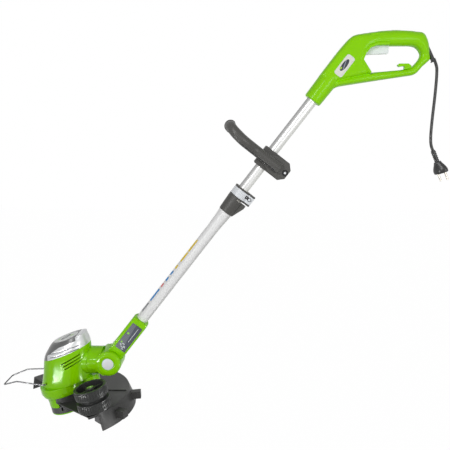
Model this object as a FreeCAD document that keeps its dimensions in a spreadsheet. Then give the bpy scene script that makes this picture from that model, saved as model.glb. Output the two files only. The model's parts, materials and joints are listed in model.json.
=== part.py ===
"""Corded electric string trimmer: telescopic shaft, tilting and turning motor head, looped handles.

World frame: origin at the middle of the rear grip, +Z up, +X towards the operator's end,
-Y the side with the tilt button and the edging wheel. Lengths in millimetres, angles in degrees.
"""
import FreeCAD, Part
import math
import os
import Sketcher

doc = FreeCAD.newDocument("string_trimmer")
sheet = doc.addObject("Spreadsheet::Sheet", "Sizes")

SIZES = {
    # whole machine
    "shaft_angle": 52.4,        # shaft above the horizontal, as held
    "head_lean": 12.0,          # spool axis leans this far forward of the vertical
    "running_gap": 0.4,         # between pieces that move past each other
    "pin_fit": 0.05,            # radial play of a pin in its hole
    "wall": 2.4,                # moulded shells
    # tubes
    "upper_tube_od": 25.0,
    "upper_tube_wall": 1.2,
    "lower_tube_od": 28.0,
    "lower_tube_wall": 1.3,
    "lower_tube_length": 500.0,
    "tube_overlap": 200.0,      # upper tube inside the lower tube, as set
    "tube_reach": 251.5,        # upper tube showing between the collar and the handle
    "flare_radius": 16.6,       # mouth of the lower tube under the collar
    "flare_length": 44.0,
    "socket_depth": 72.0,       # upper tube inside the handle
    # collar and flip lock
    "sleeve_radius": 18.0,
    "sleeve_length": 38.0,
    "split_gap": 3.2,
    "ring_length": 27.0,
    "ring_radius": 18.0,
    "band_length": 19.5,
    "band_thickness": 2.6,
    "lever_pin_offset": 29.0,
    "lever_pin_d": 4.0,
    # lower bracket and tilt pivot
    "bracket_length": 100.0,
    "bracket_width": 40.0,
    "bracket_depth": 44.0,
    "yoke_radius": 31.0,
    "yoke_width": 62.0,
    "barrel_width": 39.0,
    "axle_d": 12.0,
    "label_width": 28.0,
    "label_length": 74.0,
    "button_radius": 14.0,
    "button_depth": 7.0,
    "button_travel": 2.5,
    # neck
    "neck_radius": 33.0,
    "neck_seam": 50.0,          # turning joint, forward of the tilt axis
    "spigot_radius": 22.0,
    "spigot_length": 15.0,
    # motor head, measured from the tilt axis along the head's own axes
    "spool_axis": 133.0,        # forward of the tilt axis
    "housing_floor": 28.0,      # below the tilt axis
    "housing_height": 86.0,     # above the tilt axis
    "skirt_height": 31.0,
    "skirt_radius": 59.0,
    "cap_disc_radius": 24.0,
    "vent_length": 46.0,
    "motor_radius": 22.0,
    "motor_length": 50.0,
    "motor_shaft_d": 8.0,
    "bearing_od": 22.0,
    "bearing_length": 7.0,
    # spool
    "spool_radius": 40.0,
    "spool_top": 62.0,          # below the tilt axis
    "spool_height": 39.0,
    "cap_rim": 3.0,
    "bump_travel": 5.0,
    "reel_radius": 30.0,
    # guard
    "guard_tilt": 9.0,
    "guard_drop": 64.0,         # guard plate below the tilt axis, at the spool axis
    "guard_radius": 158.0,
    "guard_flare": 14.0,
    "guard_skirt": 38.0,
    "guard_hole": 49.0,
    "guard_wall": 2.6,
    "guard_edge_angle": 51.6,   # the straight near edge faces this far round from the front
    "guard_edge_reach": 42.5,   # from the spool axis to that edge
    "guard_far_angle": 138.0,
    "guard_rim_end": -45.0,     # the skirt under the plate stops here on the near side
    "guard_lug_width": 18.0,
    "guard_lug_length": 24.0,
    # edging wheel
    "wheel_radius": 37.5,
    "wheel_height": 53.0,
    "wheel_groove": 9.0,
    "wheel_groove_depth": 9.0,
    "wheel_forward": 31.0,
    "wheel_side": 98.0,
    "wheel_axle_d": 8.0,
    # wire edge guide
    "wire_d": 3.2,
    "wire_reach": 108.0,
    "wire_hinge_forward": 156.0,
    "wire_hinge_drop": 15.0,
    # front handle
    "aux_clamp_length": 47.0,
    "aux_clamp_below_handle": 141.0,
    "aux_clamp_width": 40.0,
    "aux_clamp_depth": 36.0,
    "aux_clamp_drop": 59.0,
    "aux_bolt_offset": 50.9,
    "aux_bolt_d": 8.0,
    "aux_bar_height": 111.0,
    "aux_leg_radius": 12.2,
    "aux_span": 100.0,          # between the middles of the legs at the grip
    "aux_corner": 22.0,
    "aux_sweep": 40.0,          # gentle bends of the legs
    "aux_grip_radius": 14.0,
    # rear handle
    "grip_from_nose": 222.0,
    "grip_offset": 66.9,
    "nose_radius": 20.5,
    "handle_depth": 38.0,
    "grip_height": 35.0,
    "grip_front": 90.0,
    "grip_back": 56.0,
    "loop_height": 84.0,
    "loop_bar": 14.0,
    "trigger_length": 50.0,
    "trigger_width": 13.0,
    "trigger_pin_d": 4.0,
    "badge_width": 21.0,
    "badge_length": 51.0,
    "badge_from_nose": 100.0,
    # lead and plug
    "cord_d": 6.6,
    "relief_length": 38.0,
    "plug_pin_d": 4.8,
    "plug_pin_length": 19.0,
    "plug_pin_pitch": 19.0,
    "plug_sleeve_length": 28.0,
    "plug_body_length": 27.0,
    # fasteners
    "screw_d": 4.0,
    "screw_head_d": 7.5,
}

for row, (alias, number) in enumerate(SIZES.items(), start=1):
    sheet.set(f"A{row}", str(number))
    sheet.setAlias(f"A{row}", alias)
doc.recompute()


class Dim:
    """A length with its expression, so one value both binds a property and places a piece."""

    def __init__(self, text, number):
        self.text = text
        self.number = number

    def _join(self, sign, other, number, swapped=False):
        left, right = (words(other), self.text) if swapped else (self.text, words(other))
        return Dim(f"({left} {sign} {right})", number)

    def __add__(self, other):
        return self._join("+", other, self.number + float(other))

    def __radd__(self, other):
        return self._join("+", other, float(other) + self.number, swapped=True)

    def __sub__(self, other):
        return self._join("-", other, self.number - float(other))

    def __rsub__(self, other):
        return self._join("-", other, float(other) - self.number, swapped=True)

    def __mul__(self, other):
        return self._join("*", other, self.number * float(other))

    def __rmul__(self, other):
        return self._join("*", other, float(other) * self.number, swapped=True)

    def __truediv__(self, other):
        return self._join("/", other, self.number / float(other))

    def __neg__(self):
        return Dim(f"(0 - {self.text})", -self.number)

    def __float__(self):
        return float(self.number)


def words(value):
    """The expression text of a Dim or a plain number."""
    return value.text if isinstance(value, Dim) else repr(float(value))


class Sheet:
    """Reads a named size from the spreadsheet."""

    def __getattr__(self, alias):
        return Dim(f"Sizes.{alias}", float(sheet.get(alias)))


S = Sheet()
V = FreeCAD.Vector
UP = V(0, 0, 1)
TILT = V(0, 1, 0)


def vec(x, y, z):
    return V(float(x), float(y), float(z))


def bind(thing, prop, value):
    """Set a property by expression where the value is a named size."""
    if isinstance(value, Dim):
        thing.setExpression(prop, value.text)
    else:
        thing.setExpression(prop, repr(float(value)))


TURNS = {"Z": FreeCAD.Rotation(), "X": FreeCAD.Rotation(TILT, 90), "Y": FreeCAD.Rotation(V(1, 0, 0), -90)}


def put(thing, at, turn):
    thing.Placement = FreeCAD.Placement(V(), turn)
    for axis, value in zip("xyz", at):
        bind(thing, f"Placement.Base.{axis}", value)
    return thing


def rod(radius, length, at=(0, 0, 0), along="Z", turn=None):
    thing = doc.addObject("Part::Cylinder", "rod")
    bind(thing, "Radius", radius)
    bind(thing, "Height", length)
    return put(thing, at, turn or TURNS[along])


def taper(low, high, length, at=(0, 0, 0), along="Z", turn=None):
    thing = doc.addObject("Part::Cone", "taper")
    bind(thing, "Radius1", low)
    bind(thing, "Radius2", high)
    bind(thing, "Height", length)
    return put(thing, at, turn or TURNS[along])


def block(size, low, turn=None):
    thing = doc.addObject("Part::Box", "block")
    for prop, value in zip(("Length", "Width", "Height"), size):
        bind(thing, prop, value)
    return put(thing, low, turn or TURNS["Z"])


def fuse(*things):
    joined = doc.addObject("Part::MultiFuse", "joined")
    joined.Shapes = list(things)
    return joined


def cut(base, *tools):
    result = doc.addObject("Part::Cut", "cut")
    result.Base = base
    result.Tool = tools[0] if len(tools) == 1 else fuse(*tools)
    return result


def common(base, tool):
    result = doc.addObject("Part::Common", "common")
    result.Base = base
    result.Tool = tool
    return result


def group(*things):
    """Separate solids that share one node."""
    together = doc.addObject("Part::Compound", "together")
    together.Links = list(things)
    return together


def fixed(shape, name="shape"):
    """A piece whose shape comes from Part's own functions."""
    thing = doc.addObject("Part::Feature", name)
    thing.Shape = shape
    return thing


def outline_sketch(body, plane_role, corners):
    """A closed outline in a body's origin plane, each corner held by two named distances."""
    plane = [o for o in body.Origin.OriginFeatures if o.Role == plane_role][0]
    sketch = body.newObject("Sketcher::SketchObject", "outline")
    sketch.AttachmentSupport = [(plane, "")]
    sketch.MapMode = "FlatFace"
    points = [V(float(x), float(y), 0) for x, y in corners]
    count = len(points)
    for i in range(count):
        sketch.addGeometry(Part.LineSegment(points[i], points[(i + 1) % count]), False)
    for i in range(count):
        sketch.addConstraint(Sketcher.Constraint("Coincident", i, 2, (i + 1) % count, 1))
    for i, corner in enumerate(corners):
        for kind, value in zip(("DistanceX", "DistanceY"), corner):
            held = sketch.addConstraint(Sketcher.Constraint(kind, -1, 1, i, 1, float(value)))
            bind(sketch, f"Constraints[{held}]", value)
    return sketch


def turned(*corners):
    """A lathe piece: an outline of (radius, height) corners turned about Z."""
    body = doc.addObject("PartDesign::Body", "turned")
    sketch = outline_sketch(body, "XZ_Plane", corners)
    turn = body.newObject("PartDesign::Revolution", "turn")
    turn.Profile = sketch
    turn.ReferenceAxis = (sketch, ["V_Axis"])
    turn.Angle = 360
    sketch.Visibility = False
    return body


def plate(corners, length, role="XY_Plane", rounds=(), centred=False, flip=False, rim=None):
    """A prism on an origin plane: corners rounded by (radius, which), then the far rim."""
    body = doc.addObject("PartDesign::Body", "plate")
    sketch = outline_sketch(body, role, corners)
    pad = body.newObject("PartDesign::Pad", "pad")
    pad.Profile = sketch
    bind(pad, "Length", length)
    pad.Midplane = centred
    pad.Reversed = flip
    sketch.Visibility = False
    doc.recompute()
    for radius, which in rounds:
        soften(body, radius, upright_edges(body.Shape, sketch, [corners[i] for i in which]))
    end = sketch.Placement.Rotation.multVec(UP) * float(length) * (-1 if flip else 1)
    if rim is not None:
        soften(body, rim, [f"Edge{n}" for n, edge in enumerate(body.Shape.Edges, start=1)
                           if flat_at(edge, end)])
    return body


def flat_at(edge, end):
    """Whether an edge lies in the plane square to a vector, at its tip."""
    normal = V(end).normalize()
    return all(abs((corner.Point - end).dot(normal)) < 0.001 for corner in edge.Vertexes)


def inset(corners, distance):
    """The corners of an outline moved inwards, each along its own bisector."""
    spots = [V(float(x), float(y), 0) for x, y in corners]
    area = sum(spots[i - 1].x * spots[i].y - spots[i].x * spots[i - 1].y for i in range(len(spots)))
    moved = []
    for i, (x, y) in enumerate(corners):
        before = (spots[i] - spots[i - 1]).normalize()
        after = (spots[(i + 1) % len(spots)] - spots[i]).normalize()
        inward = V(-before.y - after.y, before.x + after.x, 0) * (1 if area > 0 else -1)
        inward = inward / (1 + before.dot(after))
        moved.append((x + distance * inward.x, y + distance * inward.y))
    return moved


def soften(body, radius, names):
    """Round the named edges of a body's last feature."""
    before = body.Tip
    soft = body.newObject("PartDesign::Fillet", "round")
    soft.Base = (before, names)
    bind(soft, "Radius", radius)
    doc.recompute()


def upright_edges(shape, sketch, corners):
    """Names of the edges that rise from the given corners of a sketch."""
    spots = [sketch.Placement.multVec(V(float(x), float(y), 0)) for x, y in corners]
    normal = sketch.Placement.Rotation.multVec(UP)
    names = []
    for number, edge in enumerate(shape.Edges, start=1):
        if not isinstance(edge.Curve, Part.Line):
            continue
        if abs(edge.tangentAt(edge.FirstParameter).dot(normal)) < 0.99:
            continue
        for spot in spots:
            gap = edge.Vertexes[0].Point - spot
            if (gap - normal * gap.dot(normal)).Length < 0.01:
                names.append(f"Edge{number}")
    return names


BEYOND = 700.0      # reaches past every piece


def bore_across(radius, x, z):
    """A hole right through along Y."""
    return rod(radius, 2 * BEYOND, (x, -BEYOND, z), "Y")


def bore_along(radius, x=0, y=0):
    """A hole right through along Z."""
    return rod(radius, 2 * BEYOND, (x, y, -BEYOND))


def other_side(side):
    """All that lies across the middle plane from a half on this side."""
    return block((2 * BEYOND, BEYOND, 2 * BEYOND), (-BEYOND, 0 if side < 0 else -BEYOND, -BEYOND))


def bent_rod(points, bends, radius):
    """A round bar along straight runs joined by tangent arcs, and the length of its path."""
    edges = []
    last = points[0]
    for i in range(1, len(points) - 1):
        here = points[i]
        back = (points[i - 1] - here).normalize()
        ahead = (points[i + 1] - here).normalize()
        half = back.getAngle(ahead) / 2
        reach = bends[i - 1] / math.tan(half)
        into = here + back * reach
        out = here + ahead * reach
        middle = here + (back + ahead).normalize() * (bends[i - 1] / math.sin(half) - bends[i - 1])
        edges.append(Part.LineSegment(last, into).toShape())
        edges.append(Part.Arc(into, middle, out).toShape())
        last = out
    edges.append(Part.LineSegment(last, points[-1]).toShape())
    path = Part.Wire(edges)
    section = Part.Wire([Part.Circle(points[0], points[1] - points[0], radius).toShape()])
    return path.makePipeShell([section], True, False), path.Length


nodes = []


def node(label, thing, frame):
    """Name a finished piece and set it in its frame."""
    if thing.ExpressionEngine and thing.TypeId != "PartDesign::Body":
        thing = group(thing)
    thing.Label = label
    thing.Placement = frame
    nodes.append(thing)
    return thing


# ---------------------------------------------------------------------------------------------
# Places along the shaft, from the tilt axis, and the frames that pieces are set in

bracket_low = S.yoke_radius + 2 * S.running_gap
bracket_high = bracket_low + S.bracket_length
collar_high = bracket_low + S.lower_tube_length
ring_low = collar_high - S.ring_length
sleeve_high = ring_low - S.split_gap
sleeve_low = sleeve_high - S.sleeve_length
upper_tube_low = collar_high - S.tube_overlap
nose_low = collar_high + S.tube_reach
upper_tube_high = nose_low + S.socket_depth
clamp_high = nose_low - S.aux_clamp_below_handle
clamp_low = clamp_high - S.aux_clamp_length
grip_along = nose_low + S.grip_from_nose

shaft_turn = FreeCAD.Rotation(TILT, 90 - float(S.shaft_angle))
pivot = shaft_turn.multVec(vec(S.grip_offset, 0, grip_along)) * -1
GRIP = FreeCAD.Placement()
SHAFT = FreeCAD.Placement(pivot, shaft_turn)
HEAD = FreeCAD.Placement(pivot, FreeCAD.Rotation(TILT, -float(S.head_lean)))
NECK = FreeCAD.Placement(pivot, FreeCAD.Rotation())
spool_x = -S.spool_axis


# ---------------------------------------------------------------------------------------------
# Tubes

tube_top_r = S.upper_tube_od / 2
tube_low_r = S.lower_tube_od / 2
node("upper_tube", turned(
    (tube_top_r - S.upper_tube_wall, upper_tube_low),
    (tube_top_r, upper_tube_low),
    (tube_top_r, upper_tube_high),
    (tube_top_r - S.upper_tube_wall, upper_tube_high)), SHAFT)

lower_tube_low = bracket_low + S.wall * 5
lower_bore = tube_low_r - S.lower_tube_wall
flare_low = sleeve_low - S.flare_length
node("lower_tube", turned(
    (lower_bore, lower_tube_low),
    (tube_low_r, lower_tube_low),
    (tube_low_r, flare_low),
    (S.flare_radius, sleeve_low),
    (S.flare_radius, sleeve_high),
    (S.flare_radius - S.lower_tube_wall, sleeve_high),
    (S.flare_radius - S.lower_tube_wall, sleeve_low),
    (lower_bore, flare_low)), SHAFT)

# Split bush that the flip lock squeezes onto the upper tube
bush_r = S.flare_radius - S.lower_tube_wall - S.pin_fit
bush = rod(bush_r, collar_high - sleeve_low, (0, 0, sleeve_low))
bush_bore = bore_along(tube_top_r + S.pin_fit)
bush_slit = block((bush_r * 2, S.lower_tube_wall, collar_high), (0, S.lower_tube_wall / -2, 0))
node("collar_bush", cut(bush, bush_bore, bush_slit), SHAFT)


# ---------------------------------------------------------------------------------------------
# Collar: sleeve over the flared tube, clamp ring, and the lever that closes round it

rim = (S.ring_length - S.band_length) / 2
core_r = S.ring_radius - S.running_gap
rim_r = core_r + S.band_thickness
ear_r = S.lever_pin_d * 1.6
collar_wall = turned(
    (S.flare_radius + S.pin_fit, sleeve_low),
    (S.sleeve_radius, sleeve_low),
    (rim_r, sleeve_high),
    (rim_r, ring_low + rim),
    (core_r, ring_low + rim),
    (core_r, collar_high - rim),
    (rim_r, collar_high - rim),
    (rim_r, collar_high),
    (bush_r + S.pin_fit, collar_high),
    (bush_r + S.pin_fit, sleeve_high),
    (S.flare_radius + S.pin_fit, sleeve_high))
gusset = plate((
    (0, sleeve_low),
    (S.sleeve_radius, sleeve_low),
    (S.lever_pin_offset, sleeve_high - rim * 2),
    (S.lever_pin_offset, sleeve_high),
    (0, sleeve_high)), ear_r * 2, "XZ_Plane", centred=True)
ear_levels = (ring_low, collar_high - rim)
ears = [block((S.lever_pin_offset, ear_r * 2, rim), (0, -ear_r, low)) for low in ear_levels]
ear_ends = [rod(ear_r, rim, (S.lever_pin_offset, 0, low)) for low in ear_levels]
collar_solid = fuse(collar_wall, gusset, *ears, *ear_ends)
collar_bore = fuse(
    rod(S.flare_radius + S.pin_fit, sleeve_high - sleeve_low, (0, 0, sleeve_low)),
    bore_along(bush_r + S.pin_fit))
split = block((S.lever_pin_offset * 2, S.sleeve_radius * 4, S.split_gap),
              (S.split_gap, S.sleeve_radius * -2, sleeve_high))
lever_hole = rod(S.lever_pin_d / 2 + S.pin_fit, S.ring_length, (S.lever_pin_offset, 0, ring_low))
node("clamp_collar", cut(collar_solid, collar_bore, split, lever_hole), SHAFT)
node("lever_pin", rod(S.lever_pin_d / 2, S.ring_length, (S.lever_pin_offset, 0, ring_low)), SHAFT)

band_low = ring_low + rim + S.running_gap
band_height = S.band_length - 2 * S.running_gap
band = rod(rim_r, band_height, (0, 0, band_low))
lever_eye = rod(ear_r, band_height, (S.lever_pin_offset, 0, band_low))
lever_web = block((S.lever_pin_offset, S.band_thickness, band_height), (0, -ear_r, band_low))
lever_clear = fuse(
    rod(core_r + S.running_gap, S.ring_length, (0, 0, ring_low)),
    block((rim_r * 2, rim_r * 2, S.ring_length), (-rim_r, 0, ring_low)),
    rod(S.lever_pin_d / 2 + S.pin_fit, S.ring_length, (S.lever_pin_offset, 0, ring_low)))
lever_body = cut(fuse(band, lever_web), lever_clear)
lever_eyed = cut(fuse(lever_body, lever_eye), rod(
    S.lever_pin_d / 2 + S.pin_fit, S.ring_length, (S.lever_pin_offset, 0, ring_low)))
node("lock_lever", lever_eyed, SHAFT)


# ---------------------------------------------------------------------------------------------
# Lower bracket: two halves round the end of the lower tube, with the barrel of the tilt joint

half_width = S.bracket_width / 2
half_depth = S.bracket_depth / 2
screw_r = S.screw_d / 2
head_r = S.screw_head_d / 2
barrel_screw_drop = S.yoke_radius * 0.6
label_place = (S.bracket_width * -0.32, -half_depth, bracket_high - S.wall * 5.5 - S.label_length)
bracket_corners = (
    (-half_width, -half_depth),
    (half_width, -half_depth),
    (half_width, half_depth),
    (-half_width, half_depth))
bracket_screw_places = (
    (-half_width + S.wall + screw_r, bracket_low + S.wall + head_r),
    (half_width - S.wall - screw_r, bracket_low + S.wall + head_r),
    (0, -barrel_screw_drop))


def screw(x, z, length, half):
    """A pan-head screw along Y, head on the far side."""
    shank = rod(screw_r, length, (x, half - length, z), "Y")
    head = rod(head_r, S.screw_d / 2, (x, half - S.screw_d / 2, z), "Y")
    return fuse(shank, head)


def screw_hole(x, z, length, half):
    shank = rod(screw_r, length, (x, half - length, z), "Y")
    head = rod(head_r + S.pin_fit, S.screw_d, (x, half - S.screw_d / 2, z), "Y")
    return fuse(shank, head)


def bracket_half(side):
    box = plate(bracket_corners, S.bracket_length, rounds=[(S.wall * 2, (0, 1, 2, 3))])
    box.Placement.Base = vec(0, 0, bracket_low)
    bind(box, "Placement.Base.z", bracket_low)
    barrel = rod(S.yoke_radius, S.barrel_width, (0, S.barrel_width / -2, 0), "Y")
    stem = block((S.bracket_width, S.barrel_width, bracket_low), (-half_width, S.barrel_width / -2, 0))
    holes = [screw_hole(x, z, S.barrel_width - S.wall, S.barrel_width / 2) for x, z in bracket_screw_places]
    label_seat = block((S.label_width, S.wall / 2, S.label_length), label_place)
    return cut(fuse(box, barrel, stem),
               other_side(side),
               rod(tube_low_r + S.pin_fit, S.bracket_length, (0, 0, lower_tube_low)),
               bore_across(S.axle_d / 2 + S.pin_fit, 0, 0),
               rod(tube_top_r / 2, bracket_high, (0, 0, S.axle_d)),
               label_seat,
               *holes)


node("bracket_near", bracket_half(-1), SHAFT)
node("bracket_far", bracket_half(1), SHAFT)
label_margin = S.running_gap / 2
node("bracket_label", block(
    (S.label_width - 2 * label_margin, S.wall / 2, S.label_length - 2 * label_margin),
    (label_place[0] + label_margin, label_place[1], label_place[2] + label_margin)), SHAFT)
node("bracket_screws", group(*[
    screw(x, z, S.barrel_width - S.wall, S.barrel_width / 2) for x, z in bracket_screw_places]), SHAFT)


# ---------------------------------------------------------------------------------------------
# Neck: two halves that make the fork of the tilt joint and the spigot of the turning joint

cheek = (S.yoke_width - S.barrel_width) / 2 - S.running_gap
cheek_inner = S.barrel_width / 2 + S.running_gap
lip = S.wall * 1.25
spigot_end = S.neck_seam + S.spigot_length + S.running_gap * 4
button_floor = cheek_inner + lip / 2
neck_screw_rise = S.neck_radius * 0.72
neck_screw_depth = S.neck_radius / 2
neck_screw_x = -S.neck_seam + S.neck_radius / 2
neck_screw_places = [(neck_screw_x, rise) for rise in (neck_screw_rise, -neck_screw_rise)]
saddle_reach = S.yoke_radius * 0.55


def neck_half(side):
    body = rod(S.neck_radius, S.neck_seam, (-S.neck_seam, 0, 0), "X")
    spigot = rod(S.spigot_radius, S.neck_seam, (-spigot_end, 0, 0), "X")
    flange = rod(S.spigot_radius + S.wall * 2, lip, (-spigot_end - lip, 0, 0), "X")
    cheeks = [rod(S.yoke_radius, cheek, (0, low, 0), "Y") for low in (cheek_inner, -cheek_inner - cheek)]
    saddle = rod(S.yoke_radius + S.running_gap, cheek_inner * 2, (0, -cheek_inner, 0), "Y")
    notch = block((S.neck_seam, cheek_inner * 2, S.neck_radius * 2), (
        -saddle_reach, -cheek_inner, -S.neck_radius))
    axle_hole = bore_across(S.axle_d / 2 + S.pin_fit, 0, 0)
    seat = rod(S.button_radius + S.pin_fit, S.yoke_width, (0, -button_floor - S.yoke_width, 0), "Y")
    head_seat = rod(S.axle_d, S.yoke_width, (0, cheek_inner + cheek / 2, 0), "Y")
    wire_way = rod(S.axle_d / 2, S.neck_seam * 2, (-S.neck_seam * 2, 0, 0), "X")
    holes = [screw_hole(x, z, S.neck_radius, neck_screw_depth) for x, z in neck_screw_places]
    return cut(fuse(body, spigot, flange, *cheeks), saddle, notch, other_side(side), axle_hole, seat,
               head_seat, wire_way, *holes)


node("neck_near", neck_half(-1), NECK)
node("neck_far", neck_half(1), NECK)
node("neck_screws", group(*[
    screw(x, z, S.neck_radius, neck_screw_depth) for x, z in neck_screw_places]), NECK)
axle_low = -button_floor
node("tilt_axle", fuse(
    rod(S.axle_d / 2, button_floor + cheek_inner + cheek / 2, (0, axle_low, 0), "Y"),
    rod(S.axle_d - S.running_gap, cheek / 2 - S.running_gap, (0, cheek_inner + cheek / 2, 0), "Y")), NECK)
spring_height = S.yoke_width / 2 - S.button_travel / 2 - S.button_depth - button_floor - S.running_gap
button_spring_r = S.button_radius * 0.7
node("button_spring", cut(
    rod(button_spring_r, spring_height, (0, -button_floor - spring_height, 0), "Y"),
    bore_across(button_spring_r - S.wall * 0.6, 0, 0)), NECK)
node("tilt_button", rod(
    S.button_radius, S.button_depth, (0, -S.yoke_width / 2 - S.button_travel / 2, 0), "Y"), NECK)


# ---------------------------------------------------------------------------------------------
# Motor housing: an oval shell lofted through level sections (height, centre forward, half length,
# half width), closed by a cap whose top and seam are both sloped

neck_turn = FreeCAD.Rotation(TILT, float(S.head_lean) - 90)
neck_way = neck_turn.multVec(UP)
floor = -S.housing_floor
LEVELS = (
    (floor, S.spool_axis - 13, 64.0, 54.0),
    (floor * 0, S.spool_axis - 19.5, 61.0, 53.0),
    (S.housing_height * 0.35, S.spool_axis - 29.5, 61.0, 50.0),
    (S.housing_height * 0.6, S.spool_axis - 38, 57.0, 46.0),
    (S.housing_height * 0.8, S.spool_axis - 50, 44.5, 38.5),
    (S.housing_height * 1.0, S.spool_axis - 60.5, 31.5, 30.0))
TOP_SLOPE = 10.0
SEAM_SLOPE = 9.5


def oval(level, centre, half_long, half_wide):
    ring = doc.addObject("Part::Ellipse", "oval")
    bind(ring, "MajorRadius", half_long)
    bind(ring, "MinorRadius", half_wide)
    return put(ring, (-centre, 0, level), TURNS["Z"])


def oval_loft(inner):
    loft = doc.addObject("Part::Loft", "loft")
    loft.Sections = [oval(level + inner * (0 if n == 0 else -1) * (n == len(LEVELS) - 1),
                          centre, half_long - inner, half_wide - inner)
                     for n, (level, centre, half_long, half_wide) in enumerate(LEVELS)]
    loft.Solid = True
    loft.Ruled = False
    return loft


def sloped(forward, level, slope, low):
    """A deep slab with its underside on the sloped plane, or its top when low is its depth."""
    turn = FreeCAD.Rotation(TILT, -slope)
    corner = turn.multVec(V(-BEYOND, -BEYOND, -low))
    return block((2 * BEYOND, 2 * BEYOND, BEYOND), (-forward + corner.x, corner.y, level + corner.z), turn)


top_level = S.housing_height * 0.87
top_forward = S.spool_axis - 39.2
seam_level = S.housing_height * 0.46
seam_forward = S.spool_axis + 3
top_cut = sloped(top_forward, top_level, TOP_SLOPE, 0)
top_cut_inside = sloped(top_forward, top_level - S.wall, TOP_SLOPE, 0)
port_start = S.neck_seam + S.spigot_length + S.running_gap * 3


def along_neck(radius, start, length):
    """A rod along the neck's axis, in the head's own axes."""
    return rod(radius, length, (start * neck_way.x, 0, start * neck_way.z), turn=neck_turn)


VENT_SLOPE = 15
vent_depth = 30.0
vent_inner = 32.0
vent_step = (3.0, -6.5)


def vent_slots():
    """Three slanted slots through each side wall."""
    slots = []
    for inner in (-vent_inner - vent_depth, vent_inner):
        for n in range(3):
            low = (-S.spool_axis + 30 + n * vent_step[0], inner, 26 + n * vent_step[1])
            turn = FreeCAD.Rotation(TILT, -VENT_SLOPE)
            slots.append(block((S.vent_length, vent_depth, S.wall), low, turn))
    return slots


hinge_r = S.wire_d / 2 + S.pin_fit
hinge_place = (-S.wire_hinge_forward, -S.wire_hinge_drop)
outer = cut(oval_loft(S.wall * 0), top_cut)
above_floor = block((2 * BEYOND, 2 * BEYOND, BEYOND), (-BEYOND, -BEYOND, floor))
cavity = common(cut(oval_loft(S.wall), top_cut_inside), above_floor)
post_side = S.motor_radius + 5
post_places = [(spool_x + x, side * post_side) for x in (-27, 25) for side in (-1, 1)]
posts = [rod(head_r, S.housing_floor * 0.9, (x, y, floor)) for x, y in post_places]
rib_inner = post_side + screw_r
rib_length = 30
post_ribs = [block((S.wall, rib_length, S.housing_floor * 0.6),
                   (x - S.wall / 2, rib_inner if float(y) > 0 else -rib_inner - rib_length, floor))
             for x, y in post_places]
lug_inner = 34.0
lug_length = 9.0
lugs = [rod(S.wire_d * 1.6, lug_length, (hinge_place[0], low, hinge_place[1]), "Y")
        for low in (-lug_inner - lug_length, lug_inner)]
shell = fuse(cut(fuse(outer, *lugs), cavity), common(fuse(*posts, *post_ribs), outer))
post_holes = [rod(screw_r, S.housing_floor * 0.8, (x, y, floor)) for x, y in post_places]
neck_room = along_neck(S.neck_radius + S.running_gap, 0, port_start)
seam_over = sloped(seam_forward, seam_level, SEAM_SLOPE, 0)
seam_under = sloped(seam_forward, seam_level, SEAM_SLOPE, BEYOND)
top_turn = FreeCAD.Rotation(TILT, -TOP_SLOPE)
badge_drop = top_turn.multVec(V(0, 0, -float(S.wall) / 2))
disc_forward = top_forward - 3.8
disc_level = top_level + math.tan(math.radians(TOP_SLOPE)) * (top_forward - disc_forward)
disc_place = (-disc_forward + badge_drop.x, 0, disc_level + badge_drop.z)
cap = cut(shell, seam_under, neck_room, rod(S.cap_disc_radius, S.housing_height, disc_place, turn=top_turn))
node("top_cap", cap, HEAD)
node("cap_badge", rod(S.cap_disc_radius - S.running_gap, S.wall / 2, disc_place, turn=top_turn), HEAD)
port = along_neck(S.neck_radius, port_start, S.wall * 7.5)
port_bore = along_neck(S.neck_radius - S.wall, port_start - S.wall * 2, S.neck_radius * 2)
hinge_holes = bore_across(hinge_r, *hinge_place)
lower_shell = cut(shell, seam_over)
node("motor_housing", cut(
    fuse(lower_shell, cut(port, cap)), neck_room, port_bore, hinge_holes, *post_holes, *vent_slots()), HEAD)

# Ring between the neck and the housing, behind the lip of the spigot
ring_start = S.neck_seam + S.running_gap
node("neck_ring", cut(
    rod(S.neck_radius, port_start - ring_start, (-port_start, 0, 0), "X"),
    rod(S.spigot_radius + S.running_gap, BEYOND, (-BEYOND, 0, 0), "X")), NECK)


# ---------------------------------------------------------------------------------------------
# Base: skirt round the spool, floor under the motor, and the ledge below the neck

skirt_r = S.skirt_radius
skirt_low = floor - S.skirt_height * 0.8
floor_low = floor - S.wall * 2
skirt_in = S.spool_radius + 4
shaft_hole = S.motor_shaft_d / 2 + S.wall
skirt = turned(
    (skirt_r, floor),
    (skirt_r, floor - S.skirt_height * 0.5),
    (skirt_r - 4, skirt_low),
    (skirt_in + S.wall * 2, skirt_low),
    (skirt_in + S.wall * 1.2, floor - S.skirt_height),
    (skirt_in, floor - S.skirt_height),
    (skirt_in, floor_low),
    (shaft_hole, floor_low),
    (shaft_hole, floor_low + S.wall),
    (skirt_in, floor_low + S.wall),
    (skirt_in + S.wall, floor))


def at_spool(thing):
    """Moves a lathe piece made about Z onto the spool's axis."""
    bind(thing, "Placement.Base.x", spool_x)
    return thing


plane_turn = FreeCAD.Rotation(TILT, float(S.guard_tilt))


def upward_screw(x, y, low, length, head):
    """A screw along Z driven from below."""
    return fuse(rod(screw_r, length, (x, y, low)), rod(head, screw_r, (x, y, low - screw_r)))


def over_plate(depth, up):
    """A slab that starts on the guard's plate, or a depth under it, and goes up or down."""
    corner = plane_turn.multVec(V(-BEYOND, -BEYOND, float(depth) - (0 if up else BEYOND)))
    return block((2 * BEYOND, 2 * BEYOND, BEYOND),
                 (spool_x + corner.x, corner.y, -S.guard_drop + corner.z), plane_turn)


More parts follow.
